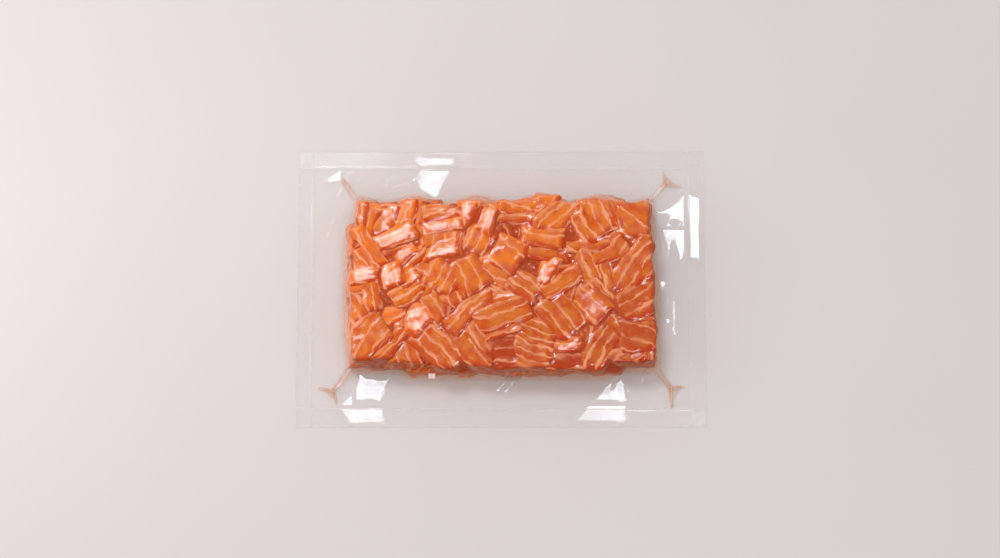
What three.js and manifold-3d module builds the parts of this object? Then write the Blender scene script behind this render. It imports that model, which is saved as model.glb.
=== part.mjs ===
// Vacuum pack of raw salmon poke cubes. Millimetres, +Z up.
// The cubes lie in two courses, pressed into a flat block, and a clear pouch is drawn tight round
// them. Its two films are welded to each other all round the block in a wide flat margin.
// Origin: on the table, under the middle of the pouch. +X runs along the block, +Y across it.

import * as THREE from 'three';
import { ConvexGeometry } from 'three/addons/geometries/ConvexGeometry.js';
import { mergeVertices } from 'three/addons/utils/BufferGeometryUtils.js';
import Module from 'manifold-3d';

const wasm = await Module();
wasm.setup();

// Driving dimensions

const BLOCK_LENGTH = 165;
const BLOCK_WIDTH = 95;
const BLOCK_HEIGHT = 28;
const POUCH_LENGTH = 220;
const POUCH_WIDTH = 150;

// The cubes
const COURSE_SPLIT = 12.5; // height where the two courses of cubes meet
const COURSE_LAP = 1; // how far the courses are pressed into each other
const TOP_DROP = 1.3; // a level cube's top lies this far under the highest corner of the block
const CHAMFER = 1.1; // soft cut edge of a cube
const CHAMFER_SPREAD = 0.25; // it is wider on one side of a cube than on the other by this share
const FUSE = 0.12; // neighbours are pressed together by this much
const GROW = 4; // a cube spreads this far towards its neighbours
const NEAR = 9; // two cubes closer than this press on each other
const GIVE = 0.15; // of what two cubes would both fill, the higher one gives up this share
const WALL_LEAN = 0.09; // steepest lean of a cut side, as a slope
const TOP_LEAN = 0.07; // steepest lean of a level cube's top, as a slope
const LIGHT_TURN = 135; // the tilted cubes lean towards this side, in degrees from +X

// The bed of cubes that only shows at the sides and below
const BED_COLUMNS = 10;
const BED_ROWS = 6;
const BED_JITTER = 1.8;
const BED_TURN = 13;
const BED_OVERLAP = 1.5; // the cubes of the bed are this much longer than their pitch
const CORE_INSET = 7; // the plain core lies this far in from the block's sides
const CORE_HEIGHT = 22.5; // the pits between the upper cubes reach down to here
const UNDERCUT = 3; // the block is made this much too deep, and then cut level

// The block's uneven outline
const BACK_WAVE = 1.7;
const BACK_WAVE_LENGTH = 33;
const BACK_WAVE_START = -46;
const WALL_UNEVEN = 1.3;

// Where a wall bends in: between two distances from the block's middle, and by how much
const LEFT_BACK_BEND = { from: 22, to: 46, by: 6 };
const LEFT_FRONT_BEND = { from: 20, to: 44, by: 2.5 };
const RIGHT_BACK_BEND = { from: 0, to: 16, by: 2 };
const FRONT_LEFT_BEND = { from: 48, to: 56, by: 3.5 };
const FRONT_RIGHT_BEND = { from: 57, to: 63, by: 3.5 };

const WALL_SLOPE = 0.1; // the block's walls lean in by this much towards the top
const WALL_SLOPE_SPREAD = 0.054; // more or less than that for a single cube

// The pouch margin
const MARGIN_THICKNESS = 0.6;
const MARGIN_CLEARANCE = 0.32; // between the cubes and the margin's inner edge
const FLAT_LEVEL = 0.42; // middle of the margin where it lies on the table
const SEAM_LEVEL = 8.5; // middle of the margin where it meets the block
const SLOPE_LENGTH = 15; // distance over which it comes down
const RIPPLE = 0.35;
const RIPPLE_SCALE = [7.3, 9.1]; // along and across, for a wave of 2 pi times this
const RIPPLE_SHIFT = 0.6;
const SMALLEST_FACET = 0.02; // slivers lower than this are smoothed away
const SHORTEST_EDGE = 0.25; // corners of a cube closer than this are one
const GRID = 1 / 256; // corners of cubes are rounded to this

// The four corner folds, given in the +X +Y corner: from the block to a knot, then to two tips
const FOLD_ROOT = [79, 44.5];
const FOLD_KNOT = [89.5, 56];
const FOLD_TIPS = [[97, 55.5], [89, 63.5]];
const FOLD_HEIGHT = 3;
const FOLD_HALF_WIDTH = 2.6;
const FOLD_FADE = 0.35; // share of its height that a fold loses from its start to its end
const FOLD_TIP_SHARE = 0.7; // height of the two tips next to that of the fold

// The grid of the margin: where its lines lie close together for the folds, and how many there are
const FINE_ALONG = [78, 98];
const FINE_ACROSS = [43, 65];
const LINES_IN_FOLD = 8;
const LINES_BESIDE = 3;
const LINES_ALONG = 10;
const LINES_ACROSS = 6;

// The cubes of the upper course, one a row:
// x, y, long side, short side, turn from +X in degrees, lift, lean towards the light in degrees
const MOSAIC_CENTRE = [0.5, 1.2];
const MOSAIC_SPREAD = 0.985;
const MOSAIC = [
    [-75.5, 35.5, 17, 8, 84, 0, 6],
    [-66.5, 31.5, 13, 8.5, 80, -1, 0],
    [-67.5, 41.5, 13, 6.5, -8, -1, 0],
    [-60, 36, 11, 9, 60, -0.5, 0],
    [-70, 19.5, 25, 9, -58, 0.5, 0],
    [-79.5, 22, 13, 6, -75, -2, 0],
    [-75, 11.5, 9, 8, -30, 0, 0],
    [-72, 3.5, 12, 8, 5, 1, 12],
    [-63.5, 4.5, 12, 6.5, 85, -1, 0],
    [-76, -2.8, 11, 6, 0, 0, 0],
    [-67.3, -6.5, 14, 6.5, -75, 1, 0],
    [-74.5, -11.5, 15, 12, -48, 0, 0],
    [-61, -10, 11, 6, -85, -3.5, 0],
    [-70, -27.5, 17, 17, 35, 1, 5],
    [-57.5, -17, 8, 8, 5, -1, 0],
    [-64.5, -36, 13, 11, 58, 0, 0],
    [-75, -41, 11, 8, 10, -0.5, 0],
    [-56, -31, 17, 9, 52, 0.5, 0],
    [-52.5, -21.5, 8, 7, 35, -1, 0],
    [-52, -39, 11, 8, -5, -0.5, 0],
    [-56.5, 43.5, 13, 8, 5, -1, 0],
    [-50.5, 38.5, 12, 8.5, 75, 0.5, 0],
    [-44, 39.5, 13, 6, 88, 0, 0],
    [-55.5, 27, 21, 8, 24, 1, 14],
    [-56.5, 19.5, 15, 7.5, 12, 0, 0],
    [-43.3, 25.5, 14, 5.5, 88, -0.5, 0],
    [-45.5, 15, 9, 8, 40, 0.5, 0],
    [-51.5, 16.5, 9, 5, 38, 1, 12],
    [-59.5, 13, 12, 7, -50, -1.5, 0],
    [-57, 5, 12, 8, -78, 1, 12],
    [-50, 4.5, 11, 8, 35, 0.5, 9],
    [-43.5, 8.5, 8, 6, -20, -0.5, 0],
    [-50.5, -4, 17, 9, 28, 0.5, 0],
    [-53, -12, 12, 5, 0, -2.5, 0],
    [-44.5, -20, 15, 8, 80, 1, 8],
    [-36, -31, 26, 15, -42, 0.5, 0],
    [-32, 43.5, 19, 6, 2, -1.5, 0],
    [-31.5, 38, 19, 6, 3, 0, 0],
    [-30.5, 31, 21, 7, 10, 1, 12],
    [-35, 23.8, 9, 8.5, 90, 0, 0],
    [-27, 23.5, 10, 7, 88, 0.3, 6],
    [-32, 16.5, 15, 7, 12, 1, 14],
    [-32, 4.5, 16, 14, 62, 0.5, 0],
    [-28, -5, 11, 10, -60, 0, 0],
    [-36.5, -13.5, 15, 8.5, -62, 0.5, 0],
    [-27.5, -16, 12, 7.5, 80, -0.5, 0],
    [-42, -4, 9, 6, 50, -0.5, 0],
    [-19, 38.5, 12, 7, 85, 0.5, 10],
    [-13, 44, 14, 7.5, -5, -1, 0],
    [-3, 43.5, 9, 8.5, 0, -0.5, 0],
    [-13, 36, 12, 7, 65, -0.5, 0],
    [-6.8, 34, 13, 8, 70, 1, 14],
    [-20.5, 23, 16, 5, 88, 0, 0],
    [-12.5, 22.5, 18, 11, 62, 0.5, 0],
    [-3.8, 21, 12, 6.5, 85, -1.5, 0],
    [-6, 14, 8, 7, 10, 0.3, 10],
    [-16, 5, 19, 17, -60, 1, 0],
    [-1.5, 3.5, 13, 9, -25, 0.3, 0],
    [-9, -5, 12, 6, -10, -0.5, 0],
    [-18, -15.5, 25, 9.5, 45, 0.5, 0],
    [-17.5, -34.5, 19, 11, -52, 0.5, 0],
    [-11, -31, 14, 8, -60, 0, 0],
    [-1, -26.5, 13, 5, 18, 0.3, 10],
    [-25, -27.5, 9, 6, -50, -0.5, 0],
    [12, 42.5, 20, 8, -12, -0.5, 0],
    [11, 34.5, 21, 6.5, -2, 0, 0],
    [3, 29, 15, 7, 0, -1.5, 0],
    [4.5, 16.5, 15, 14, 65, 1, 4],
    [22.5, 25.8, 20, 10.5, -8, 1.2, 3],
    [25, 15, 23, 11, -8, 0.3, 0],
    [17, 6.5, 13, 7, -10, -1.5, 0],
    [13.5, -1, 17, 10, -32, 0.5, 0],
    [0.5, -9, 17, 7, 15, 0, 0],
    [1, -17, 24, 12, 18, 1, 0],
    [3, -35, 17, 16, 5, -0.5, 0],
    [19.5, -33.5, 20, 16, 78, 0.5, 0],
    [24.5, 43, 8, 8, 10, -0.5, 0],
    [32.5, 37, 20, 14, 42, 0.5, 0],
    [37, 26.5, 8, 7, 80, -2, 0],
    [44.5, 30.5, 14, 9, -65, 0.5, 0],
    [47.5, 21, 18, 7, 3, 0.3, 0],
    [37, 14.5, 9, 6.5, -20, -0.8, 0],
    [27, 7.5, 11, 6, 65, 1, 14],
    [36, 8, 15, 7, 5, 0.3, 0],
    [33, -0.5, 19, 9, 32, 1, 0],
    [38.8, -5.5, 9, 5, 75, 0, 10],
    [30.5, -16.5, 22, 16, -50, 0.8, 0],
    [34.5, -30.8, 13, 7.5, -3, 0.5, 12],
    [36.5, -40, 17, 8.5, 5, 0, 0],
    [52.5, 36, 19, 13, -65, 0.5, 0],
    [55, 16, 8, 8, 20, 0.3, 0],
    [47.5, 8.5, 14, 11, -72, 0, 0],
    [57.5, 7, 12, 8.5, -75, 0, 0],
    [49, -11, 17, 12, -45, 1, 5],
    [56.5, -6.5, 17, 7, -48, 0, 0],
    [47, -29, 14, 8, 78, 0, 5],
    [54.5, -32.5, 22, 12, 57, 0.5, 0],
    [48, -22.5, 8, 5, -5, -2, 0],
    [61.8, 36, 16, 6, -80, 0, 8],
    [71.5, 34, 18, 14, 88, 0.5, 0],
    [66, 23, 14, 10, -60, 0.3, 0],
    [73, 10.5, 24, 15, 52, 0.5, 0],
    [72, -7.5, 21, 14, 33, 0.5, 0],
    [71.5, -19.5, 17, 7, -4, -0.3, 0],
    [61, -24.5, 10, 8, -55, 0.3, 6],
    [72, -29.5, 16, 13, 5, 0.8, 0],
    [68.5, -39, 14, 8, 3, 0.3, 0],
    [78.5, -38, 12, 6, 88, 0, 0],
];

const radians = degrees => degrees * Math.PI / 180;

// A number from -1 to 1 that depends on two whole numbers only, so every build is the same.
function uneven(seed, channel) {
    const wave = Math.sin(seed * 12.9898 + channel * 78.233) * 43758.5453;
    return 2 * (wave - Math.floor(wave)) - 1;
}

const bendIn = ({ from, to, by }, along) => by * THREE.MathUtils.smoothstep(along, from, to);

// The block's four sides near a point: the back swells in waves, the others bend in at some corners.
function outlineSides(x, y, seed) {
    const back = BACK_WAVE * Math.cos(2 * Math.PI * (x - BACK_WAVE_START) / BACK_WAVE_LENGTH);
    const front = bendIn(FRONT_LEFT_BEND, -x) + bendIn(FRONT_RIGHT_BEND, x);
    const rough = side => WALL_UNEVEN * 0.5 * (uneven(seed, side) - 1);
    return [
        [1, 0, BLOCK_LENGTH / 2 - bendIn(RIGHT_BACK_BEND, y) + rough(11)],
        [-1, 0, BLOCK_LENGTH / 2 - bendIn(LEFT_BACK_BEND, y) - bendIn(LEFT_FRONT_BEND, -y) + rough(12)],
        [0, 1, BLOCK_WIDTH / 2 - BACK_WAVE + back + rough(13)],
        [0, -1, BLOCK_WIDTH / 2 - front + rough(14)],
    ];
}

// A cube is a box in plan, with a floor, a top and a place in line for its random numbers.
function cube(seed, x, y, long, short, turn, lift, floor, top, lean) {
    const along = new THREE.Vector2(Math.cos(radians(turn)), Math.sin(radians(turn)));
    return {
        seed,
        centre: new THREE.Vector2(x, y),
        sides: [along, new THREE.Vector2(-along.y, along.x)],
        halves: [long / 2, short / 2],
        lift,
        floor,
        top,
        lean,
    };
}

function reach(piece, direction) {
    return piece.sides.reduce((sum, side, i) => sum + piece.halves[i] * Math.abs(side.dot(direction)), 0);
}

// Where two neighbours part: the direction from one to the other, and how far from the first's
// centre. The cube that lies higher keeps more of what both would fill.
function parting(piece, other) {
    const away = other.centre.clone().sub(piece.centre);
    let best = null;
    for (const side of [...piece.sides, ...other.sides]) {
        const direction = side.clone().multiplyScalar(side.dot(away) > 0 ? 1 : -1);
        const gap = direction.dot(away) - reach(piece, direction) - reach(other, direction);
        if (!best || gap > best.gap) best = { direction, gap };
    }
    const { direction, gap } = best;
    let share = 0.5;
    if (gap < 0 && piece.lift !== other.lift) share = piece.lift > other.lift ? GIVE : 1 - GIVE;
    return { direction, gap, distance: reach(piece, direction) + gap * share };
}

function halfSpace(nx, ny, nz, px, py, pz, shift) {
    const normal = new THREE.Vector3(nx, ny, nz).normalize();
    return { normal, reach: normal.dot(new THREE.Vector3(px, py, pz)) + shift };
}

// All the flat cuts that bound a cube, each as a half space. The first is its top.
function cuts(piece, all, shift) {
    const { x, y } = piece.centre;
    const walls = outlineSides(x, y, piece.seed);
    const partings = all
        .filter(other => other !== piece && other.floor === piece.floor)
        .map(other => ({ ...parting(piece, other), pair: piece.seed + other.seed,
            sign: piece.seed < other.seed ? 1 : -1 }))
        .filter(met => met.gap < NEAR);
    const tilt = Math.tan(radians(piece.lean));
    const light = radians(LIGHT_TURN);
    const level = piece.lean === 0 ? TOP_LEAN : TOP_LEAN / 3;
    const found = [halfSpace(
        tilt * Math.cos(light) + level * uneven(piece.seed, 1),
        tilt * Math.sin(light) + level * uneven(piece.seed, 2),
        1, x, y, piece.top, shift)];
    found.push(halfSpace(0, 0, -1, x, y, piece.floor, shift));
    for (const [index, side] of piece.sides.entries()) {
        for (const sign of [1, -1]) {
            const direction = side.clone().multiplyScalar(sign);
            const end = piece.centre.clone().addScaledVector(direction, piece.halves[index]);
            const met = partings.some(other => other.direction.dot(direction) > 0.5)
                || walls.some(([nx, ny, wall]) => direction.x * nx + direction.y * ny > 0.5
                    && wall - (nx * end.x + ny * end.y) < NEAR);
            const distance = piece.halves[index] + (met ? GROW : 0);
            const lean = WALL_LEAN * uneven(piece.seed, 3 + index + sign);
            found.push(halfSpace(direction.x, direction.y, lean,
                x + direction.x * distance, y + direction.y * distance, piece.top - 2, shift));
        }
    }
    for (const met of partings) {
        const lean = met.sign * WALL_LEAN * uneven(met.pair, 7);
        found.push(halfSpace(met.direction.x, met.direction.y, lean,
            x + met.direction.x * met.distance, y + met.direction.y * met.distance,
            BLOCK_HEIGHT / 2, shift));
    }
    for (const [nx, ny, distance] of walls) {
        const lean = WALL_SLOPE + WALL_SLOPE_SPREAD * uneven(piece.seed, 8);
        found.push(halfSpace(nx, ny, lean, nx * distance, ny * distance, SEAM_LEVEL, shift));
    }
    return found;
}

// The corners of the space that lies inside every half space.
function cornersOf(spaces) {
    const corners = [];
    const cross = new THREE.Vector3();
    for (let i = 0; i < spaces.length; i++) {
        for (let j = i + 1; j < spaces.length; j++) {
            for (let k = j + 1; k < spaces.length; k++) {
                const [a, b, c] = [spaces[i], spaces[j], spaces[k]];
                const volume = a.normal.dot(cross.crossVectors(b.normal, c.normal));
                if (Math.abs(volume) < 1e-3) continue;
                const point = new THREE.Vector3()
                    .addScaledVector(new THREE.Vector3().crossVectors(b.normal, c.normal), a.reach)
                    .addScaledVector(new THREE.Vector3().crossVectors(c.normal, a.normal), b.reach)
                    .addScaledVector(new THREE.Vector3().crossVectors(a.normal, b.normal), c.reach)
                    .divideScalar(volume)
                    .divideScalar(GRID).round().multiplyScalar(GRID);
                const inside = spaces.every(space => space.normal.dot(point) < space.reach + GRID);
                const fresh = corners.every(corner => corner.distanceTo(point) > SHORTEST_EDGE);
                if (inside && fresh) corners.push(point);
            }
        }
    }
    return corners;
}

// Cuts off the edges that the first space, the cube's top, makes with the steep sides.
function withChamfers(spaces) {
    const corners = cornersOf(spaces);
    const top = spaces[0];
    const soft = spaces.slice(2).map(side => {
        const normal = top.normal.clone().add(side.normal).normalize();
        const support = Math.max(...corners.map(corner => corner.dot(normal)));
        return { normal, reach: support - CHAMFER * (1 - CHAMFER_SPREAD + CHAMFER_SPREAD * normal.x) };
    });
    return [...spaces, ...soft];
}

function toSolid(geometry) {
    const plain = geometry.clone();
    plain.deleteAttribute('normal');
    plain.deleteAttribute('uv');
    const merged = mergeVertices(plain, 1e-4);
    return new wasm.Manifold(new wasm.Mesh({
        numProp: 3,
        vertProperties: new Float32Array(merged.attributes.position.array),
        triVerts: new Uint32Array(merged.index.array),
    }));
}

function toGeometry(solid) {
    const mesh = solid.getMesh();
    const geometry = new THREE.BufferGeometry();
    geometry.setAttribute('position', new THREE.BufferAttribute(mesh.vertProperties, 3));
    geometry.setIndex(new THREE.BufferAttribute(mesh.triVerts, 1));
    geometry.computeVertexNormals();
    return geometry;
}

// The largest closed shell of a solid. Dropping the others fills sealed hollows and loses scraps.
function mainShell(solid) {
    return solid.decompose().reduce((largest, shell) => shell.volume() > largest.volume() ? shell : largest);
}

function upperCourse() {
    return MOSAIC.map(([x, y, long, short, turn, lift, lean], index) => cube(
        index + 1,
        (x - MOSAIC_CENTRE[0]) * MOSAIC_SPREAD,
        (y - MOSAIC_CENTRE[1]) * MOSAIC_SPREAD,
        long, short, turn, lift,
        COURSE_SPLIT - COURSE_LAP,
        BLOCK_HEIGHT - TOP_DROP + lift,
        lean));
}

function bedCourse() {
    const bed = [];
    const pitchX = BLOCK_LENGTH / BED_COLUMNS;
    const pitchY = BLOCK_WIDTH / BED_ROWS;
    for (let row = 0; row < BED_ROWS; row++) {
        for (let column = 0; column < BED_COLUMNS; column++) {
            const seed = 200 + row * BED_COLUMNS + column;
            bed.push(cube(
                seed,
                (column + 0.5) * pitchX - BLOCK_LENGTH / 2 + BED_JITTER * uneven(seed, 21),
                (row + 0.5) * pitchY - BLOCK_WIDTH / 2 + BED_JITTER * uneven(seed, 22),
                pitchX + BED_OVERLAP, pitchY,
                BED_TURN * uneven(seed, 23),
                0, -UNDERCUT, COURSE_SPLIT + COURSE_LAP, 0));
        }
    }
    return bed;
}

// All the cubes joined over a plain core. The shift moves every cut outwards.
function heap(shift, soften) {
    const pieces = [...upperCourse(), ...bedCourse()];
    let joined = toSolid(new THREE.BoxGeometry(
        BLOCK_LENGTH - 2 * CORE_INSET, BLOCK_WIDTH - 2 * CORE_INSET, CORE_HEIGHT + UNDERCUT / 2)
        .translate(0, 0, (CORE_HEIGHT - UNDERCUT / 2) / 2));
    for (const piece of pieces) {
        const plain = cuts(piece, pieces, shift);
        const corners = cornersOf(soften && piece.floor > 0 ? withChamfers(plain) : plain);
        if (corners.length < 4) continue;
        joined = joined.add(toSolid(new ConvexGeometry(corners)));
    }
    const below = new THREE.BoxGeometry(2 * BLOCK_LENGTH, 2 * BLOCK_WIDTH, 2 * UNDERCUT);
    const level = joined.subtract(toSolid(below.translate(0, 0, -UNDERCUT)));
    return mainShell(level).simplify(SMALLEST_FACET);
}

// A number that falls smoothly from 1 on a stretch of fold to 0 away from it.
function nearFold(point, start, end) {
    const stretch = end.clone().sub(start);
    const along = Math.min(1, Math.max(0, point.clone().sub(start).dot(stretch) / stretch.lengthSq()));
    const distance = point.distanceTo(start.clone().addScaledVector(stretch, along));
    return Math.exp(-((distance / FOLD_HALF_WIDTH) ** 2)) * (1 - FOLD_FADE * along);
}

function foldHeight(x, y) {
    const point = new THREE.Vector2(Math.abs(x), Math.abs(y));
    const root = new THREE.Vector2(...FOLD_ROOT);
    const knot = new THREE.Vector2(...FOLD_KNOT);
    const tips = FOLD_TIPS.map(tip => FOLD_TIP_SHARE * nearFold(point, knot, new THREE.Vector2(...tip)));
    return FOLD_HEIGHT * Math.max(nearFold(point, root, knot), ...tips);
}

// Height of the middle of the margin: up at the block, flat on the table outside, with ripples.
function marginLevel(x, y) {
    const outside = Math.hypot(
        Math.max(Math.abs(x) - BLOCK_LENGTH / 2 + 1, 0),
        Math.max(Math.abs(y) - BLOCK_WIDTH / 2 + 1, 0));
    const climb = Math.max(0, 1 - outside / SLOPE_LENGTH) ** 2;
    const ripple = 1 + Math.sin(x / RIPPLE_SCALE[0]) * Math.cos(y / RIPPLE_SCALE[1] + RIPPLE_SHIFT);
    return FLAT_LEVEL + (SEAM_LEVEL - FLAT_LEVEL) * climb + RIPPLE * ripple * (1 - climb) + foldHeight(x, y);
}

// Grid lines from one edge of the pouch to the other, close together where the folds are.
function gridLines(edge, [foldStart, foldEnd], middleCount) {
    const steps = [
        [-edge, -foldEnd, LINES_BESIDE],
        [-foldEnd, -foldStart, LINES_IN_FOLD],
        [-foldStart, foldStart, middleCount],
        [foldStart, foldEnd, LINES_IN_FOLD],
        [foldEnd, edge, LINES_BESIDE],
    ];
    const lines = [-edge];
    for (const [from, to, count] of steps) {
        for (let i = 1; i <= count; i++) lines.push(from + (to - from) * i / count);
    }
    return lines;
}

// A wavy sheet of even thickness over the whole pouch, as a closed grid.
function wavySheet() {
    const columns = gridLines(POUCH_LENGTH / 2, FINE_ALONG, LINES_ALONG);
    const rows = gridLines(POUCH_WIDTH / 2, FINE_ACROSS, LINES_ACROSS);
    const sheet = new THREE.BoxGeometry(1, 1, 1, columns.length - 1, rows.length - 1, 1);
    const position = sheet.attributes.position;
    for (let i = 0; i < position.count; i++) {
        const x = columns[Math.round((position.getX(i) + 0.5) * (columns.length - 1))];
        const y = rows[Math.round((position.getY(i) + 0.5) * (rows.length - 1))];
        position.setXYZ(i, x, y, marginLevel(x, y) + position.getZ(i) * MARGIN_THICKNESS);
    }
    return sheet;
}

function salmonCubes() {
    return new THREE.Mesh(
        toGeometry(heap(FUSE / 2, true)),
        new THREE.MeshStandardMaterial({ color: 0xda6f3f, roughness: 0.28, metalness: 0 }));
}

function filmMargin() {
    const room = heap(MARGIN_CLEARANCE + FUSE / 2, false);
    return new THREE.Mesh(
        toGeometry(mainShell(toSolid(wavySheet()).subtract(room)).simplify(SMALLEST_FACET)),
        new THREE.MeshStandardMaterial({ color: 0xe4dbd8, roughness: 0.12, metalness: 0 }));
}

const pack = new THREE.Group();
for (const [name, mesh] of [['salmon_cubes', salmonCubes()], ['film_margin', filmMargin()]]) {
    mesh.name = name;
    pack.add(mesh);
}

export default pack;
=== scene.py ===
# %% [markdown]
# # A vacuum pack of raw salmon poke cubes
#
# The real thing is a clear plastic pouch. Small cuts of raw salmon are filled in, the air is drawn out, and
# the film presses the cuts into one flat block. Round the block the two films of the pouch lie on each
# other in a wide crinkled margin, which is welded along its edges and stands up in a folded ear at each
# corner.
#
# This lesson makes it in four steps: the cubes, the film that is drawn tight over them, the loose margin,
# and then the finishes, the light and the camera. Everything is in metres, but the sizes are easier to read
# in millimetres, so they are written in millimetres and multiplied by MM where Blender gets them.

# %% Load the frame
import math

import bpy
import numpy as np
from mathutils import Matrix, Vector


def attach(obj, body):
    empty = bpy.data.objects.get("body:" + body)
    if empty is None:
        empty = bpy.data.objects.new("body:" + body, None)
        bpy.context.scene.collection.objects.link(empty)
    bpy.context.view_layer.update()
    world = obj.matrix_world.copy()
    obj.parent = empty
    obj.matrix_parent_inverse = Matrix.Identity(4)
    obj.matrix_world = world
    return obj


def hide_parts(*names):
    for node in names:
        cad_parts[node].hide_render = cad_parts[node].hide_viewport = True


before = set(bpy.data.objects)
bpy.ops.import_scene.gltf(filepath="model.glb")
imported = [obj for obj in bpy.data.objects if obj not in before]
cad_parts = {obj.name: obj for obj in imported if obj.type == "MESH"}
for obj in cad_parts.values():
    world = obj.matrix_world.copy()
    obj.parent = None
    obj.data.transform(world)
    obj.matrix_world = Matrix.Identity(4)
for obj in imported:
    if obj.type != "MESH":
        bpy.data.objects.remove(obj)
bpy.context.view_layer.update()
print("the packed model's nodes:", sorted(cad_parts))

# %% [markdown]
# ## The sizes that drive everything
#
# A block of 165 x 95 x 28 mm holds one pound of fish, and the pouch of 220 x 150 mm leaves a margin of
# almost 30 mm round it. The cubes lie in two courses: the upper one shows, and the bed below it only shows
# at the walls and from underneath.

# %% Sizes in millimetres
MM = 0.001
BLOCK_LENGTH = 165
BLOCK_WIDTH = 95
BLOCK_HEIGHT = 28
POUCH_LENGTH = 220
POUCH_WIDTH = 150
COURSE_SPLIT = 12.5  # the upper course lies on the bed at this height
COURSE_LAP = 1  # and each of the two reaches this far into the other
TOP_DROP = 1.3  # a level top lies this far under the block's height
SEAM_LEVEL = 8.5  # the two films meet the block's wall at this height

# %% [markdown]
# ## Which way film has to lean to shine
#
# The picture of this pack is made by what its film mirrors, so the places of the lights and the camera come
# before the shapes. A surface mirrors a light into the camera where its normal lies half way between the
# two directions. The lean that this takes is a slope along x and along y, and it differs a little from place
# to place, because both the light and the camera are near. The key light stands behind at the left. The
# block hides it from the film close in front of it, so what shines there mirrors a smaller fill light.

# %% Where the lights and the camera are, and the lean between them
CAMERA_AIM = np.array([-0.5, 4.9, 0])
CAMERA_ELEVATION = 82
CAMERA_DISTANCE = 1050
LIGHT_DISTANCE = 2400
KEY_DIRECTION = np.array([-0.235, 0.374, 0.897])
FILL_DIRECTION = np.array([0.28, -0.19, 0.94])
LIT_SIDE = KEY_DIRECTION[:2] / np.linalg.norm(KEY_DIRECTION[:2])  # towards the key light, in plan


def camera_place():
    rise = math.radians(CAMERA_ELEVATION)
    return CAMERA_AIM + CAMERA_DISTANCE * np.array([0, -math.cos(rise), math.sin(rise)])


def light_place(direction):
    return LIGHT_DISTANCE * direction / np.linalg.norm(direction)


def mirror_lean(x, y, direction=KEY_DIRECTION):
    """The slopes along x and y of a surface that mirrors a light into the camera."""
    half = np.zeros(3)
    for place in (camera_place(), light_place(direction)):
        away = place - np.array([x, y, 0])
        half += away / np.linalg.norm(away)
    return half[0] / half[2], half[1] / half[2]


for name, direction in (("key", KEY_DIRECTION), ("fill", FILL_DIRECTION)):
    lean = [round(math.degrees(math.atan(slope)), 1) for slope in mirror_lean(0, 0, direction)]
    print("in the middle a mirror of the", name, "light leans by", lean, "degrees")

# %% [markdown]
# ## Uneven, but the same every time
#
# Food is cut by hand, so no two cubes are alike. Python's random module would do, but a number that is
# worked out from a seed and a channel is easier to keep the same in every run, and one cube's shape then
# doesn't change when another cube is added before it. The channel says what the number is for.

# %% A number from -1 to 1 for each seed and channel
CHANNELS = {
    "top": 1, "side": 3, "cut": 7, "wall slope": 8, "wall place": 11, "place": 21, "turn": 23,
    "fat direction": 24, "fat spacing": 25, "tone": 26, "height": 27, "fat radius": 31, "fat bow": 32,
    "fat tilt": 33, "curl": 41,
}
SEED_STEP = 12.9898
CHANNEL_STEP = 78.233
SCATTER = 43758.5453  # so large that what is left after the point looks random


def uneven(seed, channel, step=0):
    """Step tells the numbers of one channel apart, such as one for x and one for y."""
    wave = math.sin(seed * SEED_STEP + (CHANNELS[channel] + step) * CHANNEL_STEP) * SCATTER
    return 2 * (wave - math.floor(wave)) - 1


print("how the first cube's top is uneven:", [round(uneven(1, "top", axis), 2) for axis in (0, 1)])
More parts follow.
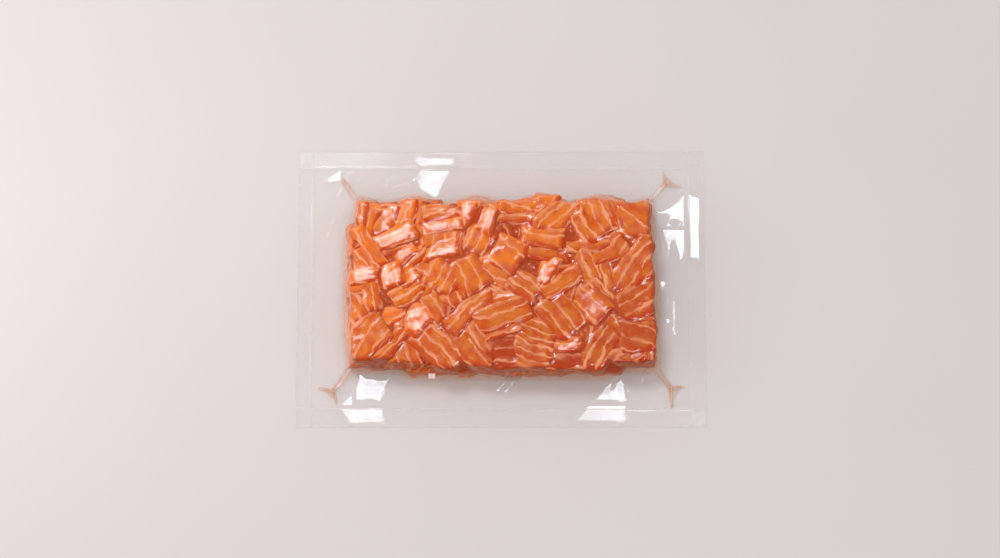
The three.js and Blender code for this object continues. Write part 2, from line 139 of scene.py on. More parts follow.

# %% [markdown]
# ## Where the cubes of the upper course lie
#
# Each row is one cut of fish: its middle (x, y), its long and short side, its turn from +X, how far it
# stands up or has sunk in, how much its top leans towards the light, the direction and spacing of its white
# fat lines, and a tone from -1, deep red, to 1, pale. A heap like this could be made by dropping cubes in a
# rigid body simulation, but a block that was pressed flat looks laid, so a listed plan is closer.

# %% The plan of the upper course
PAINTED_LIGHT_DRIFT = (-0.25, 0.3)  # painted light, along and across: the tone rises towards the key light at the back left, so the cuts there are paler and those at the front right darker
PLAN_CENTRE = (0.5, 1.2)  # this place of the plan lies in the middle of the block
PLAN_SPREAD = 0.985  # and the plan is drawn together round it by this factor
# Painted shade: the sunken cubes mostly have low tones, so they come out darker and redder.
PLAN = (
    # the left end
    (-75.5, 35.5, 17, 8, 84, 0, 6, 82, 5, 0.2),
    (-66.5, 31.5, 13, 8.5, 80, -0.6, 0, 80, 9, -0.2),
    (-67.5, 41.5, 13, 6.5, -8, -1, 0, 2, 5, 0),
    (-60, 36, 11, 9, 60, -0.5, 0, -60, 7, -0.3),
    (-70, 19.5, 25, 9, -58, 0.5, 0, -58, 7, 0),
    (-79.5, 22, 13, 6, -75, -2, 0, -75, 5, 0.2),
    (-75, 11.5, 9, 8, -30, 0, 0, -50, 7, 0),
    (-72, 3.5, 12, 8, 5, 1, 12, 5, 7, 0.3),
    (-63.5, 4.5, 12, 6.5, 85, -1, 0, 85, 7, 0),
    (-76, -2.8, 11, 6, 0, 0, 0, 0, 6, 0),
    (-67.3, -6.5, 14, 6.5, -75, 1, 0, -75, 5, 0),
    (-74.5, -11.5, 15, 12, -48, 0, 0, -50, 6, 0),
    (-61, -10, 11, 6, -85, -2.5, 0, -85, 8, -0.6),
    (-70, -27.5, 17, 17, 35, 1, 5, 55, 8, 0),
    (-57.5, -17, 8, 8, 5, -1, 0, 30, 9, 0.7),
    (-64.5, -36, 13, 11, 58, 0, 0, 60, 6, 0),
    (-75, -41, 11, 8, 10, -0.5, 0, 10, 7, 0),
    (-56, -31, 17, 9, 52, 0.5, 0, 50, 7, 0),
    (-52.5, -21.5, 8, 7, 35, -1, 0, 40, 6, 0.2),
    (-52, -39, 11, 8, -5, -0.5, 0, -65, 6, 0),
    # left of the middle
    (-56.5, 43.5, 13, 8, 5, -1, 0, 2, 6, 0.1),
    (-50.5, 38.5, 12, 8.5, 75, 0.5, 0, 70, 6, 0.1),
    (-44, 39.5, 13, 6, 88, 0, 0, 88, 5, 0.1),
    (-55.5, 27, 21, 8, 24, 1, 14, 24, 8, 0.3),
    (-56.5, 19.5, 15, 7.5, 12, 0, 0, 12, 7, 0),
    (-43.3, 25.5, 14, 5.5, 88, -0.5, 0, 88, 6, 0),
    (-45.5, 15, 9, 8, 40, 0.5, 0, 40, 7, 0),
    (-51.5, 16.5, 9, 5, 38, 1, 12, 38, 6, 0.3),
    (-59.5, 13, 12, 7, -50, -1.5, 0, -50, 6, -0.4),
    (-57, 5, 12, 8, -78, 1, 12, -78, 8, 0.3),
    (-50, 4.5, 11, 8, 35, 0.5, 9, 30, 5, 0.2),
    (-43.5, 8.5, 8, 6, -20, -0.5, 0, -20, 6, 0),
    (-50.5, -4, 17, 9, 28, 0.5, 0, 30, 5, 0),
    (-53, -12, 12, 5, 0, -2, 0, 5, 8, -0.6),
    (-44.5, -20, 15, 8, 80, 1, 8, -50, 9, 0.3),
    (-36, -31, 26, 15, -42, 0.5, 0, -42, 6, 0),
    (-32, 43.5, 19, 6, 2, -1.5, 0, 2, 6, 0.6),
    (-31.5, 38, 19, 6, 3, 0, 0, 3, 8, -0.3),
    (-30.5, 31, 21, 7, 10, 1, 12, 10, 7, 0.3),
    (-35, 23.8, 9, 8.5, 90, 0, 0, 88, 8, -0.2),
    (-27, 23.5, 10, 7, 88, 0.3, 6, 88, 5, 0),
    (-32, 16.5, 15, 7, 12, 1, 14, 12, 7, 0.3),
    (-32, 4.5, 16, 14, 62, 0.5, 0, 60, 5.5, 0),
    (-28, -5, 11, 10, -60, 0, 0, -60, 6, 0),
    (-36.5, -13.5, 15, 8.5, -62, 0.5, 0, -60, 6, 0),
    (-27.5, -16, 12, 7.5, 80, -0.5, 0, 80, 8, -0.7),
    (-42, -4, 9, 6, 50, -0.5, 0, 50, 6, 0),
    # the middle
    (-19, 38.5, 12, 7, 85, 0.5, 10, 85, 8, 0.3),
    (-13, 44, 14, 7.5, -5, -1, 0, -35, 6, 0),
    (-3, 43.5, 9, 8.5, 0, -0.5, 0, -40, 6, 0),
    (-13, 36, 12, 7, 65, -0.5, 0, 65, 8, -0.7),
    (-6.8, 34, 13, 8, 70, 1, 14, 70, 8, 0.3),
    (-20.5, 23, 16, 5, 88, 0, 0, 88, 5, 0),
    (-12.5, 22.5, 18, 11, 62, 0.5, 0, 65, 5.5, 0),
    (-3.8, 21, 12, 6.5, 85, -1.5, 0, 85, 8, -0.8),
    (-6, 14, 8, 7, 10, 0.3, 10, 10, 6, 0.2),
    (-16, 5, 19, 17, -60, 1, 0, -65, 8, 0),
    (-1.5, 3.5, 13, 9, -25, 0.3, 0, -25, 6, 0.1),
    (-9, -5, 12, 6, -10, -0.5, 0, -10, 5, 0.1),
    (-18, -15.5, 25, 9.5, 45, 0.5, 0, 45, 9, 0),
    (-17.5, -34.5, 19, 11, -52, 0.5, 0, -55, 9, 0),
    (-11, -31, 14, 8, -60, 0, 0, -60, 5, 0),
    (-1, -26.5, 13, 5, 18, 0.3, 10, 18, 6, 0.2),
    (-25, -27.5, 9, 6, -50, -0.5, 0, -50, 5, 0),
    (12, 42.5, 20, 8, -12, -0.5, 0, -15, 6, 0),
    (11, 34.5, 21, 6.5, -2, 0, 0, -3, 6, -0.2),
    (3, 29, 15, 7, 0, -1.5, 0, 5, 8, -0.9),
    (4.5, 16.5, 15, 14, 65, 1, 4, -45, 12, 0.1),
    (22.5, 25.8, 20, 10.5, -8, 1.2, 3, -8, 9, 0.1),
    (25, 15, 23, 11, -8, 0.3, 0, -8, 10, -0.1),
    (17, 6.5, 13, 7, -10, -1.5, 0, -10, 8, -0.9),
    (13.5, -1, 17, 10, -32, 0.5, 0, -40, 6, -0.1),
    (0.5, -9, 17, 7, 15, 0, 0, 15, 5, 0),
    (1, -17, 24, 12, 18, 1, 0, 18, 7, 0),
    (3, -35, 17, 16, 5, -0.5, 0, 5, 8, -0.6),
    (19.5, -33.5, 20, 16, 78, 0.5, 0, -18, 4.5, 0),
    # right of the middle
    (24.5, 43, 8, 8, 10, -0.5, 0, 40, 7, 0),
    (32.5, 37, 20, 14, 42, 0.5, 0, 42, 6, 0),
    (37, 26.5, 8, 7, 80, -2, 0, 80, 8, -1),
    (44.5, 30.5, 14, 9, -65, 0.5, 0, -62, 6, 0),
    (47.5, 21, 18, 7, 3, 0.3, 0, -5, 6, 0),
    (37, 14.5, 9, 6.5, -20, -0.8, 0, -20, 7, -0.4),
    (27, 7.5, 11, 6, 65, 1, 14, 65, 8, 0.3),
    (36, 8, 15, 7, 5, 0.3, 0, 5, 7, 0),
    (33, -0.5, 19, 9, 32, 1, 0, 32, 8, 0.1),
    (38.8, -5.5, 9, 5, 75, 0, 10, 75, 6, 0.1),
    (30.5, -16.5, 22, 16, -50, 0.8, 0, -50, 7, 0),
    (34.5, -30.8, 13, 7.5, -3, 0.5, 12, -3, 8, 0.3),
    (36.5, -40, 17, 8.5, 5, 0, 0, 5, 8, -0.6),
    (52.5, 36, 19, 13, -65, 0.5, 0, -62, 6, 0),
    (55, 16, 8, 8, 20, 0.3, 0, 20, 9, 0.1),
    (47.5, 8.5, 14, 11, -72, 0, 0, -70, 5, 0),
    (57.5, 7, 12, 8.5, -75, 0, 0, -70, 6, 0),
    (49, -11, 17, 12, -45, 1, 9, -45, 9, 0.1),
    (56.5, -6.5, 17, 7, -48, 0, 0, -50, 6, 0),
    (47, -29, 14, 8, 78, 0, 5, 78, 7, -0.2),
    (54.5, -32.5, 22, 12, 57, 0.5, 0, 57, 6, 0),
    (48, -22.5, 8, 5, -5, -2, 0, -5, 8, -1),
    # the right end
    (61.8, 36, 16, 6, -80, 0, 8, -62, 6, 0.1),
    (71.5, 34, 18, 14, 88, 0.5, 0, -40, 11, 0),
    (66, 23, 14, 10, -60, 0.3, 0, 50, 6, 0),
    (73, 10.5, 24, 15, 52, 0.5, 0, 52, 6, 0),
    (72, -7.5, 21, 14, 33, 0.5, 0, 33, 6.5, 0),
    (71.5, -19.5, 17, 7, -4, -0.3, 0, -12, 6, 0),
    (61, -24.5, 10, 8, -55, 0.3, 6, -55, 7, 0.1),
    (72, -29.5, 16, 13, 5, 0.8, 0, -20, 8, 0),
    (68.5, -39, 14, 8, 3, 0.3, 0, 35, 8, 0),
    (78.5, -38, 12, 6, 88, 0, 0, 88, 6, 0),
)
print("the upper course has", len(PLAN), "cubes")

# %% [markdown]
# ## What a cube is
#
# In plan a cube is a box, given by its middle, two sides that stand square on each other, and its half
# lengths. It also keeps what its finish needs: the direction and spacing of the fat lines, and its tone.

# %% A cube's facts
GRAIN_RADIUS = (45, 110)  # the fat lines are arcs round a point this far from the cube's middle
GRAIN_PITCH = 0.88  # they lie closer by this factor than the plan says
GRAIN_TILT = 25  # and lean by up to this many degrees


def mix(pair, share):
    """The first value of a pair where the share is 0, and the second where it is 1."""
    return pair[0] + (pair[1] - pair[0]) * share


def cube_facts(course, seed, x, y, sides, turn, floor, top, grain, spacing, tone, lift=0, lean=0, inset=0):
    along = np.array([math.cos(math.radians(turn)), math.sin(math.radians(turn))])
    radius = mix(GRAIN_RADIUS, (uneven(seed, "fat radius") + 1) / 2)
    bow = radius * (1 if uneven(seed, "fat bow") > 0 else -1)
    tilt = math.tan(math.radians(GRAIN_TILT * uneven(seed, "fat tilt")))
    across = math.radians(grain + 90)
    return {
        "course": course,
        "seed": seed,
        "centre": np.array([x, y]),
        "sides": [along, np.array([-along[1], along[0]])],
        "halves": [side / 2 for side in sides],
        "turn": turn,
        "lift": lift,
        "lean": lean,
        "inset": inset,
        "floor": floor,
        "top": top,
        "grain_centre": (x + bow * math.cos(across), y + bow * math.sin(across), top + radius * tilt),
        "spacing": GRAIN_PITCH * spacing,
        "tone": tone,
    }


def upper_course():
    cubes = []
    for seed, (x, y, long, short, turn, lift, lean, grain, spacing, tone) in enumerate(PLAN, 1):
        cubes.append(cube_facts(
            "upper", seed, (x - PLAN_CENTRE[0]) * PLAN_SPREAD, (y - PLAN_CENTRE[1]) * PLAN_SPREAD,
            (long, short), turn, COURSE_SPLIT - COURSE_LAP, BLOCK_HEIGHT - TOP_DROP + lift, grain, spacing,
            tone + 2 * PAINTED_LIGHT_DRIFT[0] * x / BLOCK_LENGTH + 2 * PAINTED_LIGHT_DRIFT[1] * y / BLOCK_WIDTH,
            lift=lift, lean=lean))
    return cubes


# %% The bed below, and the cubes that have sunk in between
BLOCK_SIZE = (BLOCK_LENGTH, BLOCK_WIDTH)
GRIDS = {
    "bed": {
        "columns": 10, "rows": 6, "first_seed": 200, "inset": 0, "oversize": 1.5, "jitter": 1.8, "turn": 13,
        "floor": 0, "top": COURSE_SPLIT + COURSE_LAP, "uneven_top": 0, "tone": 0, "uneven_tone": 0.5,
    },
    "between": {
        # painted shade: the cubes in between have a low tone, so the gaps they show in are darker
        "columns": 12, "rows": 7, "first_seed": 300, "inset": 2, "oversize": 0, "jitter": 2.5, "turn": 40,
        "floor": COURSE_SPLIT, "top": 24.9, "uneven_top": 1.2, "tone": -0.8, "uneven_tone": 0.3,
    },
}
ANY_DIRECTION = 180
FAT_SPACING = 6
UNEVEN_SPACING = 2


def grid_course(course):
    """Cubes in columns and rows, each one moved and turned. Those in between show in the gaps."""
    grid = GRIDS[course]
    counts = (grid["columns"], grid["rows"])
    pitch = [(size - 2 * grid["inset"]) / count for size, count in zip(BLOCK_SIZE, counts)]
    sides = (pitch[0] + grid["oversize"], pitch[1])
    cubes = []
    for number in range(counts[0] * counts[1]):
        seed = grid["first_seed"] + number
        row, column = divmod(number, grid["columns"])
        x, y = (
            (step + 0.5) * pitch[axis] - BLOCK_SIZE[axis] / 2 + grid["inset"]
            + grid["jitter"] * uneven(seed, "place", axis)
            for axis, step in enumerate((column, row)))
        cubes.append(cube_facts(
            course, seed, x, y, sides, grid["turn"] * uneven(seed, "turn"), grid["floor"],
            grid["top"] + grid["uneven_top"] * uneven(seed, "height"),
            ANY_DIRECTION * uneven(seed, "fat direction"),
            FAT_SPACING + UNEVEN_SPACING * uneven(seed, "fat spacing"),
            grid["tone"] + grid["uneven_tone"] * uneven(seed, "tone"), inset=grid["inset"]))
    return cubes


CUBES = upper_course() + grid_course("bed") + grid_course("between")
print("cubes in the block:", len(CUBES))

# %% [markdown]
# ## Where one cube ends and the next begins
#
# Soft fish under vacuum leaves no air: each cube spreads until it meets its neighbour. So a cube is
# made too big and then cut back, by one plane towards each neighbour, one for each wall of the block that
# is near, and one for its top. A plane that bounds a solid is a half space, kept here as a normal and a
# distance from the origin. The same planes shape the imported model, so both have the same cubes.

# %% The outline of the block
BACK_WAVE = 1.7
BACK_WAVE_LENGTH = 33
BACK_WAVE_START = -46
LEFT_BACK_BEND = (22, 46, 6)  # from where to where the wall bends in, and by how much
LEFT_FRONT_BEND = (20, 44, 2.5)
RIGHT_BACK_BEND = (0, 16, 2)
FRONT_LEFT_BEND = (48, 56, 3.5)
FRONT_RIGHT_BEND = (57, 63, 3.5)


def rise_between(value, low, high):
    """0 below low, 1 above high and smooth between them."""
    share = np.clip((value - low) / (high - low), 0, 1)
    return share * share * (3 - 2 * share)


def bend_in(bend, along):
    low, high, depth = bend
    return depth * rise_between(along, low, high)


def outline(x, y):
    """How far the right, left, back and front walls are from the middle, next to a place."""
    wave = BACK_WAVE * (np.cos(2 * np.pi * (x - BACK_WAVE_START) / BACK_WAVE_LENGTH) - 1)
    return (
        BLOCK_LENGTH / 2 - bend_in(RIGHT_BACK_BEND, y),
        BLOCK_LENGTH / 2 - bend_in(LEFT_BACK_BEND, y) - bend_in(LEFT_FRONT_BEND, -y),
        BLOCK_WIDTH / 2 + wave,
        BLOCK_WIDTH / 2 - bend_in(FRONT_LEFT_BEND, -x) - bend_in(FRONT_RIGHT_BEND, x),
    )


def distance_outside(x, y):
    """How far a place is outside the block, or less than 0 inside it."""
    right, left, back, front = outline(x, y)
    over_x, over_y = np.maximum(x - right, -x - left), np.maximum(y - back, -y - front)
    outside = np.hypot(np.maximum(over_x, 0), np.maximum(over_y, 0))
    return outside + np.minimum(np.maximum(over_x, over_y), 0)


print("the walls next to the back left corner:", [round(float(wall), 1) for wall in outline(-75, 40)])

# %% Where a cube meets its neighbours and the walls
NEAR = 9  # what is less than this far away is a neighbour
GIVE = 0.15  # the higher one of two cubes gives way by this share of their overlap
CUT_LEAN = 0.09  # how far a cut leans from upright, as a slope
WALL_UNEVEN = 1.3  # a cube stands back from the wall by up to this much
UPPER_INSET = (0.7, 1.0)  # at the left and the back: how far the upper cubes stand inside the film
INSET_FADE = (-20, 20)  # along the back wall the inset ends between these places


def block_walls(piece):
    """The four walls next to a cube, each as a direction and a distance from the middle."""
    x, y = piece["centre"]
    right, left, back, front = (
        wall + WALL_UNEVEN * (uneven(piece["seed"], "wall place", side) - 1) / 2
        for side, wall in enumerate(outline(x, y)))
    if piece["course"] == "upper":
        left -= UPPER_INSET[0]
        back -= UPPER_INSET[1] * (1 - rise_between(x, *INSET_FADE))
    return [(1, 0, float(right)), (-1, 0, float(left)), (0, 1, float(back)), (0, -1, float(front))]


def reach(piece, direction):
    return sum(half * abs(side @ direction) for side, half in zip(piece["sides"], piece["halves"]))


def parting(piece, other):
    """Where two neighbours meet: the direction, the gap between their boxes and the place of the cut."""
    away = other["centre"] - piece["centre"]
    best = None
    for side in piece["sides"] + other["sides"]:
        direction = side if side @ away > 0 else -side
        gap = direction @ away - reach(piece, direction) - reach(other, direction)
        if best is None or gap > best[1]:
            best = (direction, gap)
    direction, gap = best
    share = 0.5
    if gap < 0 and piece["lift"] != other["lift"]:
        share = GIVE if piece["lift"] > other["lift"] else 1 - GIVE
    return direction, gap, reach(piece, direction) + gap * share


def neighbours_of(piece):
    met = []
    for other in CUBES:
        if other is piece or other["course"] != piece["course"]:
            continue
        direction, gap, distance = parting(piece, other)
        if gap < NEAR:
            sign = 1 if piece["seed"] < other["seed"] else -1
            lean = sign * CUT_LEAN * uneven(piece["seed"] + other["seed"], "cut")
            met.append((direction, distance, lean))
    return met


print("neighbours of the first cube:", len(neighbours_of(CUBES[0])))

# %% The planes that bound a cube
GROW = 4  # a side that looks at a neighbour or a wall is laid this much further out
CUT_DEPTH = 2  # a side leans round a line this far under the top
TOP_LEAN = 0.07  # how far a top leans, as a slope
LIT_TOP_LEAN = TOP_LEAN / 3  # and one that mirrors the light, besides the lean which that takes
FULL_LEAN = 12  # a cube whose plan gives this many degrees mirrors the light
SAME_WAY = 0.5  # two directions with a dot product above this face the same way
WALL_SLOPE = 0.1
UNEVEN_WALL_SLOPE = 0.6 * CUT_LEAN


def half_space(normal, point, shift):
    normal = np.array(normal, float)
    normal /= np.linalg.norm(normal)
    return normal, float(normal @ np.array(point, float)) + shift


def own_sides(piece, neighbours, walls, pressed):
    planes = []
    for index, side in enumerate(piece["sides"]):
        for sign in (1, -1):
            direction, half = side * sign, piece["halves"][index]
            end = piece["centre"] + direction * half
            grows = any(other @ direction > SAME_WAY for other, _, _ in neighbours) or any(
                direction @ (nx, ny) > SAME_WAY and wall - end @ (nx, ny) < NEAR for nx, ny, wall in walls)
            spot = piece["centre"] + direction * (half + (GROW if grows else 0))
            lean = CUT_LEAN * uneven(piece["seed"], "side", index + sign)
            planes.append(half_space((*direction, lean), (*spot, piece["top"] - CUT_DEPTH), pressed))
    return planes


def bounding_planes(piece, pressed):
    """The top, the floor, the cube's own four sides, its neighbours and the block's four walls."""
    x, y = piece["centre"]
    walls = block_walls(piece)
    neighbours = neighbours_of(piece)
    level = TOP_LEAN if piece["lean"] == 0 else LIT_TOP_LEAN
    lean_x, lean_y = (
        slope * piece["lean"] / FULL_LEAN + level * uneven(piece["seed"], "top", axis)
        for axis, slope in enumerate(mirror_lean(x, y)))
    planes = [
        half_space((lean_x, lean_y, 1), (x, y, piece["top"]), 0),
        half_space((0, 0, -1), (x, y, piece["floor"]), 0),
    ]
    planes += own_sides(piece, neighbours, walls, pressed)
    for direction, distance, lean in neighbours:
        spot = piece["centre"] + direction * distance
        planes.append(half_space((*direction, lean), (*spot, BLOCK_HEIGHT / 2), pressed))
    for nx, ny, wall in walls:
        distance = wall - piece["inset"]
        lean = WALL_SLOPE + UNEVEN_WALL_SLOPE * uneven(piece["seed"], "wall slope")
        planes.append(half_space((nx, ny, lean), (nx * distance, ny * distance, SEAM_LEVEL), 0))
    return planes


print("planes round the first cube:", len(bounding_planes(CUBES[0], 0)))

# %% [markdown]
# ## Cutting a cube from a box
#
# This is what a cook does, too: take a block and slice away what is too much. In edit mode, bisect cuts the
# whole selection along a plane, clear_outer throws away the far side, and use_fill closes the cut. That
# gives sharp edges and large bare faces. A voxel remesh then covers the cube with small even faces, and a
# smooth modifier rounds its edges, because a knife leaves no edge sharp on soft fish.

# %% Work on one piece


def deselect_everything():
    if bpy.context.object is not None and bpy.context.object.mode != "OBJECT":
        bpy.ops.object.mode_set(mode="OBJECT")
    bpy.ops.object.select_all(action="DESELECT")


def choose(*pieces):
    """Makes these the only selected pieces, and the first of them the active one."""
    deselect_everything()
    for piece in pieces:
        piece.select_set(True)
    bpy.context.view_layer.objects.active = pieces[0]


def apply_modifier(piece, kind, **settings):
    choose(piece)
    modifier = piece.modifiers.new(kind.lower(), kind)
    for key, value in settings.items():
        setattr(modifier, key, value)
    bpy.ops.object.modifier_apply(modifier=modifier.name)


def remesh(piece, size):
    apply_modifier(piece, "REMESH", mode="VOXEL", voxel_size=size * MM)


def smooth(piece, steps):
    apply_modifier(piece, "SMOOTH", factor=0.5, iterations=steps)


def shade_smooth(piece):
    choose(piece)
    bpy.ops.object.shade_smooth()


# %% Slice and soften
BLANK_MARGIN = 6  # the blank is this much larger than the cube on every side
PRESSED = 1.3  # neighbours are pressed into each other by twice this much
ROUNDING_STEPS = 3
FACE_SIZE = {"upper": 0.87, "between": 1.6, "bed": 1.35}  # in each course


def add_blank(piece):
    """A plain box, larger than the cube will be, at the cube's place and turn."""
    deselect_everything()
    low, high = piece["floor"], piece["top"] + BLANK_MARGIN
    size = [2 * (half + BLANK_MARGIN) * MM for half in piece["halves"]] + [(high - low) * MM]
    bpy.ops.mesh.primitive_cube_add(
        size=1, location=(piece["centre"][0] * MM, piece["centre"][1] * MM, (low + high) / 2 * MM),
        rotation=(0, 0, math.radians(piece["turn"])), scale=size)
    bpy.ops.object.transform_apply(location=True, rotation=True, scale=True)
    return bpy.context.object


def slice_to_shape(planes):
    bpy.ops.object.mode_set(mode="EDIT")
    for normal, distance in planes:
        bpy.ops.mesh.select_all(action="SELECT")
        bpy.ops.mesh.bisect(
            plane_co=tuple(normal * distance * MM), plane_no=tuple(normal), use_fill=True, clear_outer=True)
    bpy.ops.object.mode_set(mode="OBJECT")


def cut_cube(piece):
    cube = add_blank(piece)
    slice_to_shape(bounding_planes(piece, PRESSED))
    remesh(cube, FACE_SIZE[piece["course"]])
    smooth(cube, ROUNDING_STEPS)
    tag = cube.data.attributes.new("cube", "INT", "POINT")
    tag.data.foreach_set("value", np.full(len(cube.data.vertices), piece["seed"], np.int32))
    return cube


# %% [markdown]
# ## What each point knows about its cube
#
# The finish of a cube follows the cube, not the block: its fat lines have their own direction, and its
# edges carry painted light, paler where they face the light and darker where they don't. A shader can't know
# which cube a point is on, so five attributes say it. The rim is the distance to the nearest edge: every
# point lies on one plane of its cube, and the plane that is second nearest makes the nearest edge with it.
# Whichever of the two isn't the top tells which way that edge faces.

# %% Attributes for the finish


def read_values(points, key, columns):
    """What every point says under a key, as an array with a row for each point."""
    values = np.zeros(len(points) * columns, np.float32)
    points.foreach_get(key, values)
    return values.reshape(-1, columns)


def coordinates(mesh):
    return read_values(mesh.vertices, "co", 3)


def add_attribute(mesh, name, values):
    kind, key = ("FLOAT_VECTOR", "vector") if values.ndim == 2 else ("FLOAT", "value")
    mesh.attributes.new(name, kind, "POINT").data.foreach_set(key, values.astype(np.float32).ravel())


def describe_points(row):
    mesh = row.data
    places = coordinates(mesh).astype(float)
    seeds = np.zeros(len(places), np.int32)
    mesh.attributes["cube"].data.foreach_get("value", seeds)
    told = {name: np.zeros(len(seeds)) for name in ("lit", "spacing", "tone", "rim")}
    told["grain_centre"] = np.zeros((len(seeds), 3))
    for piece in CUBES:
        mine = seeds == piece["seed"]
        if not mine.any():
            continue
        planes = bounding_planes(piece, 0)
        slack = np.stack([distance * MM - places[mine] @ normal for normal, distance in planes])
        order = np.argsort(slack, axis=0)
        facing = np.array([normal[:2] @ LIT_SIDE for normal, _ in planes])
        # how far the nearest edge faces the key light, which the finish uses for painted light on the edges
        told["lit"][mine] = facing[np.where(order[0] == 0, order[1], order[0])]
        told["spacing"][mine] = piece["spacing"] * MM
        told["tone"][mine] = piece["tone"]
        told["rim"][mine] = np.take_along_axis(slack, order, axis=0)[1]
        told["grain_centre"][mine] = np.array(piece["grain_centre"]) * MM
    for name, values in told.items():
        add_attribute(mesh, name, values)


# %% [markdown]
# ## Rows of cubes
#
# Hundreds of objects would be hard to handle, so the cubes are joined into long rows. Each cube stays a
# closed shell of its own inside its row. No cut in soft fish is quite straight or flat, so cloud textures
# then move the points: two large ones bend all the cubes of the block sideways together, and a small one
# makes their faces uneven. What would reach below the table is pressed flat on it.

# %% Join and bend the rows
ROWS = {"upper": 7, "between": 3, "bed": 3}
BEND = 3.2
BEND_SIZE = 9
WOBBLE = 0.45
WOBBLE_SIZE = 4
TABLE_LEVEL = 0.2  # the fish lies this high, on film and a trace of juice


def clouds(name, size, basis):
    texture = bpy.data.textures.new(name, "CLOUDS")
    texture.noise_scale = size * MM
    texture.noise_depth = 1
    texture.noise_basis = basis
    return texture


MOVES = (
    (clouds("bend_x", BEND_SIZE, "BLENDER_ORIGINAL"), "X", BEND),
    (clouds("bend_y", BEND_SIZE, "IMPROVED_PERLIN"), "Y", BEND),
    (clouds("wobble", WOBBLE_SIZE, "BLENDER_ORIGINAL"), "NORMAL", WOBBLE),
)


def join(pieces, name):
    choose(*pieces)
    if len(pieces) > 1:
        bpy.ops.object.join()
    joined = bpy.context.object
    joined.name = joined.data.name = name
    return joined


def move_points(piece, places):
    piece.data.vertices.foreach_set("co", places.ravel())
    piece.data.update()


def press_flat(piece, level):
    places = coordinates(piece.data)
    places[:, 2] = np.maximum(places[:, 2], level * MM)
    move_points(piece, places)


def make_row(pieces, name):
    row = join([cut_cube(piece) for piece in pieces], name)
    describe_points(row)
    for texture, direction, strength in MOVES:
        apply_modifier(row, "DISPLACE", texture=texture, texture_coords="LOCAL", direction=direction,
                       strength=strength * MM, mid_level=0.5)
    press_flat(row, TABLE_LEVEL)
    shade_smooth(row)
    print(name, "has", len(pieces), "cubes and", len(row.data.polygons), "faces")
    return row


def make_rows():
    rows = []
    for course, count in ROWS.items():
        pieces = sorted((piece for piece in CUBES if piece["course"] == course),
                        key=lambda piece: piece["centre"][1])
        for number in range(count):
            first, last = (len(pieces) * step // count for step in (number, number + 1))
            rows.append(make_row(pieces[first:last], f"salmon_{course}_{number + 1}"))
    return rows


salmon_rows = make_rows()
print("attributes on a row:", sorted(salmon_rows[0].data.attributes.keys()))

# %% [markdown]
# ## The film that is drawn tight
#
# Film under vacuum touches every top, but it spans the grooves between the cubes. That is a closing, as
# image editors call it: grow the shape, let the grooves fill up, and shrink it again by as much. Here the
# cubes are copied, joined and given one skin by a voxel remesh, which is pushed out, remeshed, smoothed
# and pulled back in until it clears the fish by about the thickness of the film. The film isn't quite
# tight: it stands off the walls in shallow waves, most of all at the back. What it spans isn't empty:
# juice fills the grooves to a little under the film, and hangs in the loose edge of the top. So a copy of
# the skin, moved inwards a little, is the surface of the juice, and shows only where the cubes don't reach
# the film.

# %% Draw the film tight
SKIN_VOXEL = 1.1
FINE_VOXEL = 0.98
SKIN_GROWTH = 3.0
SKIN_CLEARANCE = 0.14
SKIN_SMOOTHING = 4


def copy_of(pieces, name):
    choose(*pieces)
    bpy.ops.object.duplicate()
    return join(list(bpy.context.selected_objects), name)


def grow(piece, distance):
    """Moves every face outwards, or inwards where the distance is less than 0."""
    apply_modifier(piece, "DISPLACE", strength=distance * MM, mid_level=0)


def keep_clear(piece, target, side):
    """Keeps a piece inside or outside the target, and clear of it."""
    apply_modifier(piece, "SHRINKWRAP", target=target, wrap_method="NEAREST_SURFACEPOINT", wrap_mode=side,
                   offset=SKIN_CLEARANCE * MM)


def tight_skin(rows):
    inside = copy_of(rows, "inside_of_film")
    skin = copy_of([inside], "film_skin")
    remesh(skin, SKIN_VOXEL)
    grow(skin, SKIN_GROWTH)
    remesh(skin, FINE_VOXEL)
    smooth(skin, SKIN_SMOOTHING)
    grow(skin, SKIN_CLEARANCE - SKIN_GROWTH)
    keep_clear(skin, inside, "OUTSIDE")
    bpy.data.objects.remove(inside)
    return skin


# %% Let it stand off the walls
STAND_OFF = {  # a steady part, a wave, the wave's length and where it starts
    "back": (1.1, 1.1, BACK_WAVE_LENGTH, BACK_WAVE_START),
    "left": (0.6, 0.7, 27, 0),
    "right": (0.3, 0.4, 21, 0),
    "front": (0.5, 0.6, 24, 0),
}
STAND_OFF_DEPTH = (1, 5)  # it ends between these distances in from the block's edge
FILM_SWELL = (2, 13)  # between these heights the loose film leaves the wall
JUICE_SWELL = (15, 20)  # and between these the juice behind it does
CLOSING_HEIGHTS = (22, 28)  # higher up both come closer again
CLOSING = 0.4  # by this share
SAG = 0.35  # the edge of the top sinks by this share of its stand-off
SAG_HEIGHTS = (22, 25)


def loosen(skin, swell_heights):
    """Moves the walls outwards in waves, not at all below the first height and fully above the second."""
    places = coordinates(skin.data).astype(float)
    x, y, z = places.T / MM
    right, left, back, front = outline(x, y)
    height = rise_between(z, *swell_heights) * (1 - CLOSING * rise_between(z, *CLOSING_HEIGHTS))
    for name, inside, along, axis, sign in (
            ("back", back - y, x, 1, 1), ("left", left + x, y, 0, -1),
            ("right", right - x, y, 0, 1), ("front", front + y, x, 1, -1)):
        steady, wave, length, start = STAND_OFF[name]
        swell = np.maximum(steady + wave * np.cos(2 * np.pi * (along - start) / length), 0)
        edge = 1 - rise_between(inside, *STAND_OFF_DEPTH)
        places[:, axis] += sign * swell * edge * height * MM
        places[:, 2] -= SAG * swell * edge * rise_between(z, *SAG_HEIGHTS) * MM
    move_points(skin, places)


# %% Say where the film is a wall, and sink the juice
UPRIGHT = (0.25, 0.85)  # film with a normal as high as the first is a wall, and as high as the second a top
WALL_DEPTH = (-5, -2)  # nothing deeper in the block than this is a wall
LOOSE_REACH = (1, 7)  # the loose edge of the top ends between these distances from the wall
JUICE_DEPTH = (0.95, 0.3)  # the juice stands this far under the film, and under the edge of the top


